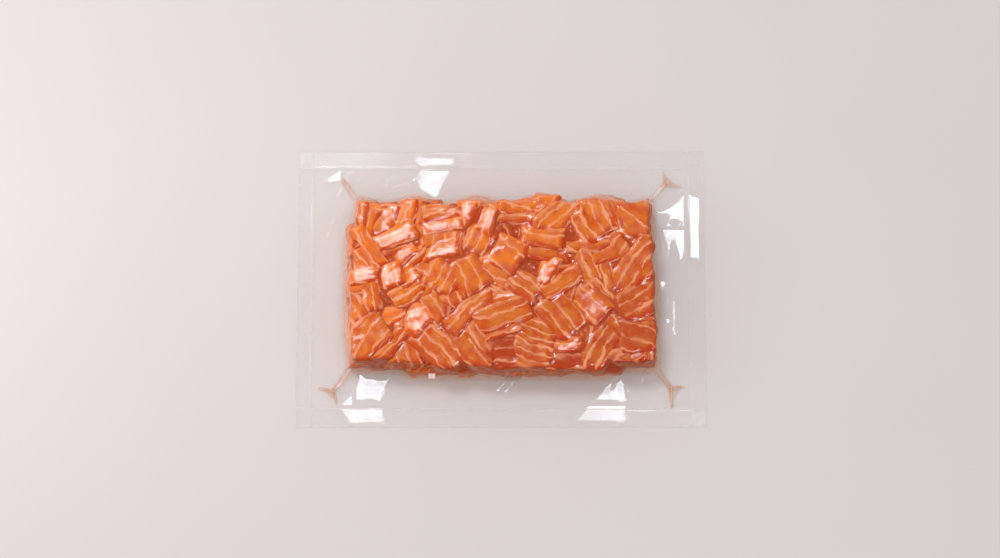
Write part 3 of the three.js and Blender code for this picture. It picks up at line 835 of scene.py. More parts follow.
def mark_walls(skin):
    """Says where the film is a wall, which way it faces, and where it hangs loose over the top's edge."""
    normals = read_values(skin.data.vertex_normals, "vector", 3)
    x, y, _ = coordinates(skin.data).T / MM
    _, left, back, _ = outline(x, y)
    upright = 1 - rise_between(np.abs(normals[:, 2]), *UPRIGHT)
    loose = 1 - rise_between(np.minimum(back - y, left + x), *LOOSE_REACH)
    add_attribute(skin.data, "wall", upright * rise_between(distance_outside(x, y), *WALL_DEPTH))
    add_attribute(skin.data, "wall_lit", normals[:, :2] @ LIT_SIDE)
    add_attribute(skin.data, "loose", loose * (1 - upright))


def sink_juice(juice):
    """Moves the copy of the skin inwards, but hardly at all along the top's edge."""
    mesh = juice.data
    places = coordinates(mesh)
    wall = read_values(mesh.attributes["wall"].data, "value", 1)
    edge = wall * rise_between(places[:, 2:] / MM, *JUICE_SWELL)
    places -= read_values(mesh.vertex_normals, "vector", 3) * mix(JUICE_DEPTH, edge) * MM
    move_points(juice, places)


# %% Wrap the block
LOOSE_SMOOTHING = 1
FILM_LEVEL = 0.06  # the film under the block lies this high


def wrap_block(rows):
    skin = tight_skin(rows)
    juice = copy_of([skin], "juice_in_grooves")
    for piece, swell_heights in ((skin, FILM_SWELL), (juice, JUICE_SWELL)):
        loosen(piece, swell_heights)
        smooth(piece, LOOSE_SMOOTHING)
        press_flat(piece, FILM_LEVEL)
        mark_walls(piece)
    sink_juice(juice)
    keep_clear(juice, skin, "INSIDE")
    press_flat(juice, TABLE_LEVEL)
    for piece in (skin, juice):
        shade_smooth(piece)
    return skin, juice


film_skin, juice_in_grooves = wrap_block([row for row in salmon_rows if "between" not in row.name])
print("the film over the block has", len(film_skin.data.polygons), "faces")

# %% [markdown]
# ## The margin
#
# Outside the block the two films lie on each other. They leave the block at the height where they were
# welded, come down to the table, and lie there in soft waves. Stiff film doesn't wave evenly: it breaks into
# flat facets with a crease between two of them, and each facet that leans the right way shows as one bright
# shape. A cloth simulation could make such folds, but not these ones, so each facet is drawn by the corners
# of a few convex shapes and leans just as it must to mirror one of the lights.

# %% The facets
LOWEST = 0.25  # no part of the margin lies lower
CURL = 0.0006  # a facet isn't quite flat: its slope changes by up to twice this much a millimetre
CREASE = (-0.6, 0.2)  # its edge reaches from this far outside its outline to this far inside
STRAIGHT_UP = np.array([0, 0, 1])  # nothing bright stands there, so this makes a dull spot
FACETS = (
    # behind the block, left of the middle, and in the weld above it
    (KEY_DIRECTION, (((-43.6, 64.8), (-26, 64.8), (-34.6, 48.6), (-37.4, 49), (-45.4, 54)),)),
    (KEY_DIRECTION, (((-46.4, 72), (-24.8, 72), (-25.3, 66), (-44.8, 66)),)),
    # the burst at the right of the block, upper and lower half
    (FILL_DIRECTION, (
        ((95.4, 47.4), (100.1, 53.4), (99.9, 40)),
        ((90.5, 43.6), (97, 48.9), (99.8, 40)),
        ((85, 41.3), (92.5, 44.9), (99.8, 41.2)),
        ((81.8, 40.8), (87.1, 41.8), (99.8, 43.5), (99.9, 38.5), (82, 38.9)),
        ((89.6, 39.5), (99.9, 39.5), (99.9, 31), (88, 31)),
        ((82.2, 39.5), (83.6, 39.2), (89, 32.5), (88, 31), (86.4, 31)))),
    (FILL_DIRECTION, (
        ((86, 32.3), (99.9, 32.3), (99.9, 25), (88.2, 25)),
        ((88, 27), (93.4, 27), (90.7, 15.9)),
        ((92.4, 27), (99.9, 27), (99.9, 20), (97, 14.4)))),
    # two dull places behind the block, two dull spots in the burst, and the band in the weld beside it
    (STRAIGHT_UP, (((-83, 58.2), (-80.4, 56.4), (-77.4, 59.6), (-79.4, 62.4), (-83, 61.8)),)),
    (STRAIGHT_UP, (((-61, 54), (-48, 58), (-48, 61.5), (-61, 58.8)),)),
    (STRAIGHT_UP, (((83.9, 38.9), (90.2, 38.9), (90.8, 36.1), (89.5, 33.4), (87.5, 34)),)),
    (STRAIGHT_UP, (((92, 36.1), (97.6, 36.8), (97, 33.9), (93.3, 34.2)),)),
    (KEY_DIRECTION, (((100.7, 52), (108.4, 49.5), (107.3, 14.2), (101.4, 15.3)),)),
    # the crown in front at the left, and the weld below it
    (FILL_DIRECTION, (
        ((-75.2, -45.2), (-70.5, -50.5), (-71.5, -61.5), (-79, -61.8), (-78.2, -54.7)),
        ((-73.5, -48.5), (-62, -49.5), (-63.2, -55.9), (-64.5, -61.6), (-72, -60.5)),
        ((-64.5, -50.5), (-57.3, -46.8), (-63, -56.5)))),
    (FILL_DIRECTION, (((-78.6, -55.5), (-78.6, -62.5), (-80, -64.5), (-88, -65)),)),
    (FILL_DIRECTION, (((-87, -65), (-62.5, -64), (-62.3, -73), (-81, -74)),)),
    # the crown in front at the right, and the weld below it
    (FILL_DIRECTION, (
        ((60.9, -46.2), (57.3, -52.2), (59.4, -53.5)),
        ((58.2, -50.8), (59.7, -55.5), (59.7, -61.5), (49, -61.5), (53.2, -56.1)),
        ((64.5, -47.6), (66.3, -52.7), (67.4, -61.5), (59.5, -61.5), (59.3, -55.2)))),
    (FILL_DIRECTION, (((46.5, -63), (67.4, -63), (66.3, -72.3), (39.5, -72.3)),)),
    # the pocket of the back left fold, and the stems of two others
    (KEY_DIRECTION, (((-95.6, 57.6), (-86.2, 65.6), (-86.2, 58.2)),)),
    (KEY_DIRECTION, (((79.5, 47.6), (88.2, 56.7), (89.2, 55.9), (81, 46.3)),)),
    (FILL_DIRECTION, (((-81, -43.1), (-88.8, -55), (-87.7, -55.5), (-78.8, -43.9)),)),
)
SPARKLE_SIZE = 2.2  # a small facet is laid larger than it shines, because its creases take part of it
SPARKLES = (
    # at the right
    ((85.8, 2.7), (88.3, 2.2), (86.7, -0.5)),
    ((87, -7.1), (88.9, -7.1), (88.1, -9.3)),
    ((90.2, -7.4), (93.7, -7.6), (92.9, -9.5), (90.8, -9.3)),
    ((88.5, -17.5), (90.7, -17.7), (89.4, -20.2)),
    ((92.3, -12), (93.6, -12), (93.6, -20.7), (92.6, -20.7)),
    # in front
    ((-38.1, -46.9), (-35.2, -46.7), (-35.7, -48.9), (-37.8, -49.1)),
    ((-0.8, -53.7), (0.2, -54), (3.7, -49.9), (3, -49.6)),
    ((4.1, -53.5), (5.1, -53.9), (9.5, -48.3), (8.7, -48)),
    ((75.3, -49.9), (76.2, -50.2), (77, -47.5), (76.3, -47.3)),
)


def inside_polygon(x, y, corners):
    """How deep a place lies inside a convex polygon, or less than 0 outside it."""
    depth = np.full_like(x, np.inf)
    middle = np.mean(corners, axis=0)
    for (ax, ay), (bx, by) in zip(corners, corners[1:] + corners[:1]):
        normal = np.array([ay - by, bx - ax]) / math.hypot(bx - ax, by - ay)
        if normal @ (middle - (ax, ay)) < 0:
            normal = -normal
        depth = np.minimum(depth, (x - ax) * normal[0] + (y - ay) * normal[1])
    return depth


def enlarged(corners):
    middle = np.mean(corners, axis=0)
    return [tuple(middle + (corner - middle) * SPARKLE_SIZE) for corner in np.array(corners)]


def lay_facets(x, y, height):
    """Makes each facet a plane that stands on the lowest point of the film under it."""
    facets = FACETS + tuple((FILL_DIRECTION, (enlarged(corners),)) for corners in SPARKLES)
    for number, (direction, shapes) in enumerate(facets):
        middle = np.mean([np.mean(corners, axis=0) for corners in shapes], axis=0)
        lean_x, lean_y = mirror_lean(*middle, direction)
        away_x, away_y = x - middle[0], y - middle[1]
        curl_x, curl_y = (CURL * uneven(number, "curl", axis) for axis in (0, 1))
        plane = -away_x * lean_x - away_y * lean_y + curl_x * away_x ** 2 + curl_y * away_y ** 2
        depth = np.max([inside_polygon(x, y, corners) for corners in shapes], axis=0)
        plane += height[depth > 0].min() - plane[depth > 0].min()
        height = height + rise_between(depth, *CREASE) * (plane - height)
    return np.maximum(height, LOWEST)


print("the margin has", len(FACETS) + len(SPARKLES), "flat facets")

# %% [markdown]
# ## The corner folds
#
# A flat pouch round a thick block has film to spare at the corners. It gathers in a pair of creases that run
# out from the block's corner to a knot, and there it opens into a small pocket like a fish's tail, between
# two tips. A trace of pink juice is drawn into the creases and the pockets, more in one corner than in
# another, so each fold has its own row in the plan.

# %% The plan of the folds
FOLD_HEIGHT = 3.4
CREASE_WIDTH = 1.2
LINE_OF_JUICE = 0.6  # half the width of the line of juice in a crease
STEM_SPREAD = (1.4, 0.6)  # half the distance between the two creases, at the block and at the knot
STEM_HEIGHT = 0.7  # share of the fold's height
STEM_STRENGTH = (0.6, 1)  # of its juice, at the block and at the knot
STEM_FILL_AND_SHEEN = 0.2  # share of the juice in its creases that also lies between them, where it also paints the pale sheen of the stem
STEM_FILL_EDGE = (0.7, 1.1)  # and that ends between these shares of the way to a crease
TIP_FADE = 0.5  # a crease of the pocket loses this share of its height and juice towards its tip
KNOT_SIZE = 1.2
POCKET_CURVE = 0.9  # 1 for a straight edge between the tips, less for a hollow one
POCKET_SIDES = (-0.08, 0.02)  # it starts beside its two creases, between these shares of their length
POCKET_MOUTH = (1, 0.86)  # and ends between these shares of the way from the knot to the tips
POCKET_HEIGHT = (0.6, 0.2)  # share of the fold's height, at the knot and at the mouth
POCKET_STRENGTH = (1.1, 0.5)  # of its juice, at the knot and at the mouth
FOOT_JUICE_AND_BOUNCE = (0.4, 2.6)  # juice at the foot of the block, which also paints the pink light that the fish throws there: its strength, and how far out it reaches
# Each row is a fold: its root, its knot, its two tips, and the juice in stem, creases and pocket.
FOLDS = (
    ((-77.9, 47.4), (-86.2, 59), (-94.9, 58.4), (-86.4, 64.9), 0.5, 0.12, 0.02),
    ((80.5, 46.4), (88.9, 56.3), (97, 55.3), (88.3, 63.4), 0.3, 0.7, 0.4),
    ((-80.2, -43.6), (-89.9, -55.9), (-97.4, -54.3), (-87.9, -62.6), 0.6, 0.9, 0.3),
    ((82, -43.4), (90.8, -54.2), (97.6, -53.7), (91.3, -64.4), 0.55, 1.1, 0.22),
)


# %% The height and the juice of each part of a fold


def to_stretch(x, y, start, end):
    """Distance to a straight stretch, and how far along it the nearest point is, from 0 to 1."""
    dx, dy = end[0] - start[0], end[1] - start[1]
    along = np.clip(((x - start[0]) * dx + (y - start[1]) * dy) / (dx * dx + dy * dy), 0, 1)
    return np.hypot(x - start[0] - along * dx, y - start[1] - along * dy), along


def ridge(distance):
    return FOLD_HEIGHT * np.clip(1 - distance / CREASE_WIDTH, 0, 1)


def bell(distance, width):
    """1 in the middle and less and less to both sides."""
    return np.exp(-(distance / width) ** 2)


def fold_stem(x, y, root, knot, strength):
    """Two creases side by side, and a little juice between them, which also paints the pale sheen there."""
    run = (knot - root) / np.linalg.norm(knot - root)
    across = np.array([-run[1], run[0]])
    distance, along = to_stretch(x, y, root, knot)
    between = 1 - rise_between(distance / mix(STEM_SPREAD, along), *STEM_FILL_EDGE)
    height, juice = np.zeros_like(x), STEM_FILL_AND_SHEEN * strength * between
    for sign in (1, -1):
        start, end = (place + across * sign * spread for place, spread in zip((root, knot), STEM_SPREAD))
        distance, along = to_stretch(x, y, start, end)
        height = np.maximum(height, STEM_HEIGHT * ridge(distance))
        juice = np.maximum(juice, strength * bell(distance, LINE_OF_JUICE) * mix(STEM_STRENGTH, along))
    return height, juice


def fold_tip(x, y, knot, tip, strength):
    """One crease from the knot to a tip."""
    distance, along = to_stretch(x, y, knot, tip)
    fade = 1 - TIP_FADE * along
    return fade * ridge(distance), strength * bell(distance, LINE_OF_JUICE) * fade


def fold_pocket(x, y, knot, tips, strength):
    """The film between the two tips."""
    (ax, ay), (bx, by) = tips[0] - knot, tips[1] - knot
    to_first = ((x - knot[0]) * by - (y - knot[1]) * bx) / (ax * by - ay * bx)
    to_second = ((y - knot[1]) * ax - (x - knot[0]) * ay) / (ax * by - ay * bx)
    out = np.maximum(to_first, 0) ** POCKET_CURVE + np.maximum(to_second, 0) ** POCKET_CURVE
    inside = rise_between(np.minimum(to_first, to_second), *POCKET_SIDES) * rise_between(out, *POCKET_MOUTH)
    return inside * FOLD_HEIGHT * mix(POCKET_HEIGHT, out), inside * strength * mix(POCKET_STRENGTH, out)


def fold_shape(x, y, fold):
    root, knot, *tips = (np.array(place) for place in fold[:4])
    stem_juice, crease_juice, pocket_juice = fold[4:]
    from_knot = np.hypot(x - knot[0], y - knot[1])
    parts = [fold_tip(x, y, knot, tip, crease_juice) for tip in tips] + [
        fold_stem(x, y, root, knot, stem_juice),
        fold_pocket(x, y, knot, tips, pocket_juice),
        (np.zeros_like(x), crease_juice * bell(from_knot, KNOT_SIZE)),
    ]
    return np.max(parts, axis=0)


def folds(x, y):
    """The height and the juice of all the folds."""
    return np.max([fold_shape(x, y, fold) for fold in FOLDS], axis=0)


knot_x, knot_y = np.array(FOLDS[0][1])[:, None]
print("at its knot the first fold is", folds(knot_x, knot_y)[0].round(2), "mm high")

# %% Everything that shapes the margin
FLAT_LEVEL = 0.42
SLOPE_LENGTH = 15  # the film comes down from the block's wall over this length
SLOPE_CURVE = 2.5
FOLD_FADE = 0.7  # a fold loses this share of its height where it starts at the wall
RIPPLE = 0.2  # the loose film's waves are this high on either side
RIPPLE_SCALE = (7.3, 9.1)  # and longer with these, along and across
RIPPLE_SHIFT = 0.6
WELD_WIDTH = 9.5
SIDE_WELD_WIDTH = 8
WELD_STEP = 0.12  # welded film lies lower by this
WELD_EDGE = (0.87, 1)  # the step lies between these shares of the weld's width
WELD_LINE = 0.5  # half the width of a cloudy line
WELD_CLOUD = 0.05  # and how cloudy the rest of a weld is


def inside_edges(x, y):
    """How far a place is inside the long and the short edges, each with the width of its weld."""
    return (POUCH_WIDTH / 2 - np.abs(y), WELD_WIDTH), (POUCH_LENGTH / 2 - np.abs(x), SIDE_WELD_WIDTH)


def margin_height(x, y):
    climb = np.clip(1 - distance_outside(x, y) / SLOPE_LENGTH, 0, 1) ** SLOPE_CURVE
    ripple = 1 + np.sin(x / RIPPLE_SCALE[0]) * np.cos(y / RIPPLE_SCALE[1] + RIPPLE_SHIFT)
    from_edge = np.min([inside / width for inside, width in inside_edges(x, y)], axis=0)
    welded = 1 - rise_between(from_edge, *WELD_EDGE)
    height = mix((FLAT_LEVEL, SEAM_LEVEL), climb) + RIPPLE * ripple * (1 - climb) - WELD_STEP * welded
    return lay_facets(x, y, height + folds(x, y)[0] * (1 - climb * FOLD_FADE))


def milky_welds(x, y):
    """Welded film is a little cloudy, most of all along the weld's inner line and the cut edge."""
    clouds_and_lines = []
    for inside, width in inside_edges(x, y):
        clouds_and_lines += [bell(inside - line, WELD_LINE) for line in (0, width)]
        clouds_and_lines.append(WELD_CLOUD * (inside < width))
    return np.max(clouds_and_lines, axis=0)


# %% Lay the margin
MARGIN_CELL = 0.7
MARGIN_THICKNESS = 0.16
TUCK = 4  # the margin reaches this far in under the skin


def lay_grid():
    """A flat grid as large as the pouch."""
    deselect_everything()
    bpy.ops.mesh.primitive_grid_add(
        x_subdivisions=round(POUCH_LENGTH / MARGIN_CELL), y_subdivisions=round(POUCH_WIDTH / MARGIN_CELL),
        size=1, location=(0, 0, 0))
    grid = bpy.context.object
    grid.scale = (POUCH_LENGTH * MM, POUCH_WIDTH * MM, 1)
    bpy.ops.object.transform_apply(location=True, rotation=True, scale=True)
    grid.name = grid.data.name = "film_welds"
    return grid


def delete_points(piece, chosen):
    bpy.ops.object.mode_set(mode="EDIT")
    bpy.ops.mesh.select_all(action="DESELECT")
    bpy.ops.object.mode_set(mode="OBJECT")
    piece.data.vertices.foreach_set("select", chosen)
    bpy.ops.object.mode_set(mode="EDIT")
    bpy.ops.mesh.delete(type="VERT")
    bpy.ops.object.mode_set(mode="OBJECT")


def make_margin():
    margin = lay_grid()
    places = coordinates(margin.data)
    x, y = places[:, 0] / MM, places[:, 1] / MM
    places[:, 2] = margin_height(x, y) * MM
    move_points(margin, places)
    delete_points(margin, distance_outside(x, y) < -TUCK)
    places = coordinates(margin.data)
    x, y = places[:, 0] / MM, places[:, 1] / MM
    # juice at the foot of the block, which also paints the pink light that the fish throws into its shadow
    foot = FOOT_JUICE_AND_BOUNCE[0] * bell(np.maximum(distance_outside(x, y), 0), FOOT_JUICE_AND_BOUNCE[1])
    add_attribute(margin.data, "juice", np.maximum(folds(x, y)[1], foot))
    add_attribute(margin.data, "milky", milky_welds(x, y))
    apply_modifier(margin, "SOLIDIFY", thickness=MARGIN_THICKNESS * MM, offset=0)
    shade_smooth(margin)
    return margin


film_welds = make_margin()
print("the margin has", len(film_welds.data.polygons), "faces")

# %% [markdown]
# ## Shader maths as plain expressions
#
# A finish is a tree of nodes. Written out, a sum of two values is three lines, so this small class wraps a
# socket: adding, subtracting, multiplying or dividing wrapped values adds the Math node that does it.

# %% A value that builds its own nodes


class Value:
    def __init__(self, finish, socket):
        self.finish = finish
        self.socket = socket

    def math(self, operation, *others):
        inputs = dict(enumerate((self, *others)))
        return self.finish.node("ShaderNodeMath", {"operation": operation}, inputs)

    def __add__(self, other):
        return self.math("ADD", other)

    def __sub__(self, other):
        return self.math("SUBTRACT", other)

    def __mul__(self, other):
        return self.math("MULTIPLY", other)

    def __truediv__(self, other):
        return self.math("DIVIDE", other)

    def __rsub__(self, other):
        return self.finish.node("ShaderNodeMath", {"operation": "SUBTRACT"}, {0: other, 1: self})

    __radd__ = __add__
    __rmul__ = __mul__


# %% A finish that makes any other node


class Finish:
    """One material and its nodes. Sizes and distances are in millimetres."""

    def __init__(self, name):
        self.material = bpy.data.materials.new(name)
        self.material.use_nodes = True
        self.tree = self.material.node_tree
        self.tree.nodes.clear()

    def node(self, kind, settings=None, inputs=None, output=0):
        made = self.tree.nodes.new(kind)
        for key, value in (settings or {}).items():
            setattr(made, key, value)
        for key, value in (inputs or {}).items():
            if isinstance(value, Value):
                self.tree.links.new(value.socket, made.inputs[key])
            else:
                made.inputs[key].default_value = value
        return Value(self, made.outputs[output])

    def place(self):
        return self.node("ShaderNodeTexCoord", output="Object")

    def attribute(self, name, output="Fac"):
        return self.node("ShaderNodeAttribute", {"attribute_name": name}, output=output)

    def noise(self, vector, size, detail=2.0, roughness=0.5, distortion=0.0):
        """A cloud pattern whose patches are about this size."""
        return self.node("ShaderNodeTexNoise", {"noise_dimensions": "3D"}, {
            "Vector": vector, "Scale": 1 / (size * MM), "Detail": detail, "Roughness": roughness,
            "Distortion": distortion}, output="Fac")

    def vector(self, operation, *inputs, output="Vector"):
        return self.node("ShaderNodeVectorMath", {"operation": operation}, dict(enumerate(inputs)), output)

    def step(self, value, limits, unit=1):
        """0 below the first limit, 1 above the second and smooth between them. The unit of a length is MM."""
        return self.node("ShaderNodeMapRange", {"interpolation_type": "SMOOTHSTEP"}, {
            "Value": value, "From Min": limits[0] * unit, "From Max": limits[1] * unit,
            "To Min": 0.0, "To Max": 1.0})

    def blend(self, share, first, second, blend_type="MIX"):
        return self.node("ShaderNodeMix", {"data_type": "RGBA", "blend_type": blend_type}, {
            0: share, 6: first, 7: second}, output=2)

    def bump(self, height, distance, strength=1.0):
        return self.node("ShaderNodeBump", None, {
            "Height": height, "Distance": distance * MM, "Strength": strength}, output="Normal")

    def surface(self, shader):
        output = self.tree.nodes.new("ShaderNodeOutputMaterial")
        self.tree.links.new(shader.socket, output.inputs["Surface"])
        return self.material


# %% [markdown]
# ## Raw salmon
#
# The flesh is orange muscle in thin leaves, with a white fat line between two leaves. Seen from above, the
# lines of one cube are arcs round a point outside it, so the distance to that point, divided by the
# spacing, counts the leaves, and a line lies wherever the count is near a whole number. A line is sharp on
# one side and fades into the next leaf on the other. Between the lines the colour wanders from gold to rose,
# and deep cubes are darker and redder; at the front right and in the sunken cubes that is painted shade. The
# edges carry painted light: an edge that faces the light is pale, and one turned away from it is darkened.

# %% The fat lines
LINE_BENDS = ((9, 1, 4.2), (3, 2, 2.2))  # two clouds: their size, their detail and how far they bend a line
LINE_WIDTH = 0.78
LINE_SWELL = 3.4  # the width also follows a cloud, which swells it by up to this
LINE_BREAK = 0.7  # and it is less by this, so that the line breaks off here and there
LINE_LEAST = 0.05
LINE_EDGE = (0.3, 1.3)  # the line ends between these shares of its width
SOFT_EDGE = (0.2, 2.6)  # its soft side ends between these distances
SHORT_SHIFT = 0.37  # a short line lies this share of a leaf before a long one
SHORT_EDGE = (0.1, 0.6)
SHORT_PLACES = (0.5, 0.62)  # short lines are only where the cloud is this dense


def fat_lines(f, place, patch):
    """The long lines, their soft sides and the short lines, each from 0 to 1."""
    spacing = f.attribute("spacing")
    away = f.vector("SUBTRACT", place, f.attribute("grain_centre", "Vector"))
    bent = f.vector("LENGTH", away, output="Value")
    for size, detail, shift in LINE_BENDS:
        bent = bent + (f.noise(place, size, detail) - 0.5) * (shift * MM)
    count = bent / spacing
    width = (patch * LINE_SWELL - LINE_BREAK).math("MAXIMUM", LINE_LEAST) * (LINE_WIDTH * MM)
    long = 1 - f.step(count.math("PINGPONG", 0.5) * spacing, LINE_EDGE, width)
    soft = 1 - f.step(count.math("FRACT") * spacing, SOFT_EDGE, MM)
    short = 1 - f.step((count + SHORT_SHIFT).math("PINGPONG", 0.5) * spacing, SHORT_EDGE, MM)
    return long, soft, short * f.step(patch, SHORT_PLACES)


# %% The flesh between them
BRIGHT = (0.86, 0.185, 0.014, 1)
GOLD = (0.68, 0.165, 0.016, 1)
CORAL = (0.60, 0.083, 0.010, 1)
ROSE = (0.62, 0.128, 0.040, 1)
# a deep red tint, which is also laid over edges turned away from the light as painted shade
DEEP_RED_SHADE = (0.48, 0.036, 0.004, 1)
FAT = (0.88, 0.360, 0.185, 1)
# painted shade, multiplied over the cubes of low tone: those at the front right and the sunken ones
FALLOFF_SHADE = (0.76, 0.72, 0.78, 1)
# Each tint: its colour, how much it follows the tone and the two hues, its limits and its share.
# The tone carries the painted fall-off of the light, so the bright tint at the back left and the deep red at
# the front right are partly painted light and shade.
TINTS = (
    (GOLD, (0.25, 1, 0), (0.34, 0.6), 1),
    (BRIGHT, (1, 0.6, 0), (0.35, 0.75), 1),
    (ROSE, (0, 0, 1), (0.45, 0.7), 0.8),
    (DEEP_RED_SHADE, (-1, 0, 0.4), (0.45, 1.1), 0.6),
)
FALLOFF_SHADE_TONES = (-0.5, 0.12)
FALLOFF_SHADE_SHARE = 0.9
GRAINS = (0.5, 0.8)
GRAINS_SHARE = 0.16


def flesh_colour(f, tone, hues, grains):
    """Each tint lies over those before it. Painted shade darkens the cubes of low tone, and all have fine
    pale grains.
    """
    flesh = CORAL
    for colour, weights, limits, share in TINTS:
        follows = sum(value * weight for value, weight in zip((tone, *hues), weights) if weight)
        flesh = f.blend(f.step(follows, limits) * share, flesh, colour)
    flesh = f.blend((1 - f.step(tone, FALLOFF_SHADE_TONES)) * FALLOFF_SHADE_SHARE, flesh, FALLOFF_SHADE, "MULTIPLY")
    return f.blend(f.step(grains, GRAINS) * GRAINS_SHARE, flesh, FAT)


# %% The salmon finish
PATCH_SIZE = 5
GRAIN_SIZE = 0.8
GRAIN_ROUGHNESS = 0.65
HUE_SIZE = 7
OTHER_HUE_SIZE = 5
OTHER_HUE_PLACE = (0.3, 0.1, 0.2)  # far off, so that the two hues have nothing in common
LIT_WEIGHT = 0.5
SHADED_EDGE = (-0.2, 2.8)  # painted shade: an edge away from the light is darkened up to between these distances
SHADED_PLACES = (0.35, 0.85)
SHADED_SHARE = 0.85
LIT_EDGE = (0.2, 1.8)  # painted highlight: one towards the light is made pale
LIT_PLACES = (0.65, 1.15)
SOFT_PLACES = (0.4, 0.65)
SOFT_SHARE = 0.4
SHORT_SHARE = 0.5
LIT_SHARE = 0.7
FAT_CLOUD_SIZE = 12
FAT_CLOUD = (0.3, 0.65)
FAT_STRENGTH = (0.42, 0.82)
FAT_TONE = 0.15  # pale cubes have stronger lines
RELIEF = (0.7, 0.25, 0.8)  # how far fat, grains and hue stand up
RELIEF_DEPTH = 0.2
RELIEF_STRENGTH = 0.8


def salmon_finish():
    f = Finish("raw_salmon")
    place = f.place()
    tone, rim, lit = (f.attribute(name) for name in ("tone", "rim", "lit"))
    patch = f.noise(place, PATCH_SIZE, 1.0)
    grains = f.noise(place, GRAIN_SIZE, roughness=GRAIN_ROUGHNESS)
    hue = f.noise(place, HUE_SIZE)
    other_hue = f.noise(f.vector("ADD", place, OTHER_HUE_PLACE), OTHER_HUE_SIZE)
    flesh = flesh_colour(f, tone, (hue, other_hue), grains)
    # painted shade on the edges turned away from the light
    painted_shade = (1 - f.step(rim, SHADED_EDGE, MM)) * f.step(hue - lit * LIT_WEIGHT, SHADED_PLACES)
    flesh = f.blend(painted_shade * SHADED_SHARE, flesh, DEEP_RED_SHADE)
    # painted highlight on the edges turned towards the light, laid on in the colour of the fat
    lit_rim_highlight = (1 - f.step(rim, LIT_EDGE, MM)) * f.step(lit * LIT_WEIGHT + patch, LIT_PLACES) * LIT_SHARE
    fat, soft, short = fat_lines(f, place, patch)
    for other in (soft * f.step(other_hue, SOFT_PLACES) * SOFT_SHARE, short * SHORT_SHARE, lit_rim_highlight):
        fat = fat.math("MAXIMUM", other)
    strength = mix(FAT_STRENGTH, f.step(f.noise(place, FAT_CLOUD_SIZE, 1.0), FAT_CLOUD))
    relief = fat * RELIEF[0] + grains * RELIEF[1] + hue * RELIEF[2]
    return f.surface(f.node("ShaderNodeBsdfPrincipled", None, {
        "Base Color": f.blend(fat * (strength + tone * FAT_TONE), flesh, FAT), "Roughness": 0.55,
        "IOR": 1.36, "Specular IOR Level": 0.0, "Normal": f.bump(relief, RELIEF_DEPTH, RELIEF_STRENGTH)}))


# %% The juice in the grooves
JUICE_DARK = (0.42, 0.042, 0.006, 1)
JUICE_RED = (0.56, 0.100, 0.020, 1)
JUICE_PAINTED_LIGHT = (0.86, 0.34, 0.16, 1)
JUICE_PAINTED_LIGHT_SHARE = 0.9
TURNED_TO_LIGHT = (-0.3, 0.3)
JUICE_CLOUD_SIZE = 4
JUICE_RIPPLE_SIZE = 2
JUICE_RIPPLE_DEPTH = 0.1
JUICE_RIPPLE_STRENGTH = 0.5


def juice_finish():
    f = Finish("salmon_juice")
    place = f.place()
    hanging = f.attribute("wall").math("MAXIMUM", f.attribute("loose"))
    # painted light: the juice that hangs at a wall or at the loose edge is made pale where it faces the key
    # light
    lit = hanging * f.step(f.attribute("wall_lit"), TURNED_TO_LIGHT)
    colour = f.blend(f.noise(place, JUICE_CLOUD_SIZE), JUICE_DARK, JUICE_RED)
    ripple = f.noise(place, JUICE_RIPPLE_SIZE, 1.0)
    return f.surface(f.node("ShaderNodeBsdfPrincipled", None, {
        "Base Color": f.blend(lit * JUICE_PAINTED_LIGHT_SHARE, colour, JUICE_PAINTED_LIGHT), "Roughness": 0.4,
        "Specular IOR Level": 0.0, "Normal": f.bump(ripple, JUICE_RIPPLE_DEPTH, JUICE_RIPPLE_STRENGTH)}))


# %% [markdown]
# ## Clear film
#
# Film is seen by what it mirrors. A plain glass shader would bend the light twice and take long to render,
# so the film is a mix: mostly a transparent shader that lets everything through, and a small part of a
# mirror, more of it where the film is seen at a slant. Very fine crinkles bend the mirror image.

# %% One method for both films
SHEEN_COOL = (0.84, 0.91, 1.0, 1)
SHEEN_PLAIN = (0.92, 0.94, 0.98, 1)
CLEAR = (1, 0.998, 0.997, 1)
FINE_CRINKLE = 3
FINE_ROUGHNESS = 0.55
FINE_SHARE = 0.4
BROAD_CRINKLE = 11
STREAK_SIZE = 5
STREAK_ROUGHNESS = 0.6
CLOUDY = (0.3, 0.7)
STREAKY = (0.3, 0.65)
WET = (0.0, 0.3)  # between these the film turns from a mirror to the colour of the juice behind it
SLANT = (0.2, 0.55)
WET_SHARE = (0.25, 0.6)  # how much of the juice's share counts, seen straight on and at a slant


def film_finish(name, least_and_most, at_slant, crinkle, relief, wet):
    """The film's share of mirror runs from least to most, and is more at a slant. Relief adds to the
    crinkles. Wet gives the share and the colour of the juice behind, which shows most at a slant."""
    f = Finish(name)
    place = f.place()
    broad = f.noise(place, BROAD_CRINKLE, 1.0)
    crinkles = f.noise(place, FINE_CRINKLE, roughness=FINE_ROUGHNESS) * FINE_SHARE + broad
    normal = f.bump(relief(place, crinkles), crinkle)
    slant = f.node("ShaderNodeLayerWeight", None, {"Blend": 0.3, "Normal": normal}, output="Facing")
    juice, juice_colour = wet(f, place)
    wetness = f.step(juice, WET)
    sheen = f.blend(f.step(broad, CLOUDY), SHEEN_COOL, SHEEN_PLAIN)
    gloss = f.node("ShaderNodeBsdfPrincipled", None, {
        "Base Color": f.blend(wetness, sheen, juice_colour), "Metallic": 1 - wetness, "Roughness": 0.12,
        "Specular IOR Level": 0.6, "Normal": normal})
    clear = f.node("ShaderNodeBsdfTransparent", None, {"Color": CLEAR})
    streak = f.step(f.noise(place, STREAK_SIZE, roughness=STREAK_ROUGHNESS), STREAKY)
    cover = (mix(least_and_most, streak) + slant * slant * at_slant
             + juice * mix(WET_SHARE, f.step(slant, SLANT)))
    return f.surface(f.node("ShaderNodeMixShader", None, {0: cover, 1: clear, 2: gloss}))


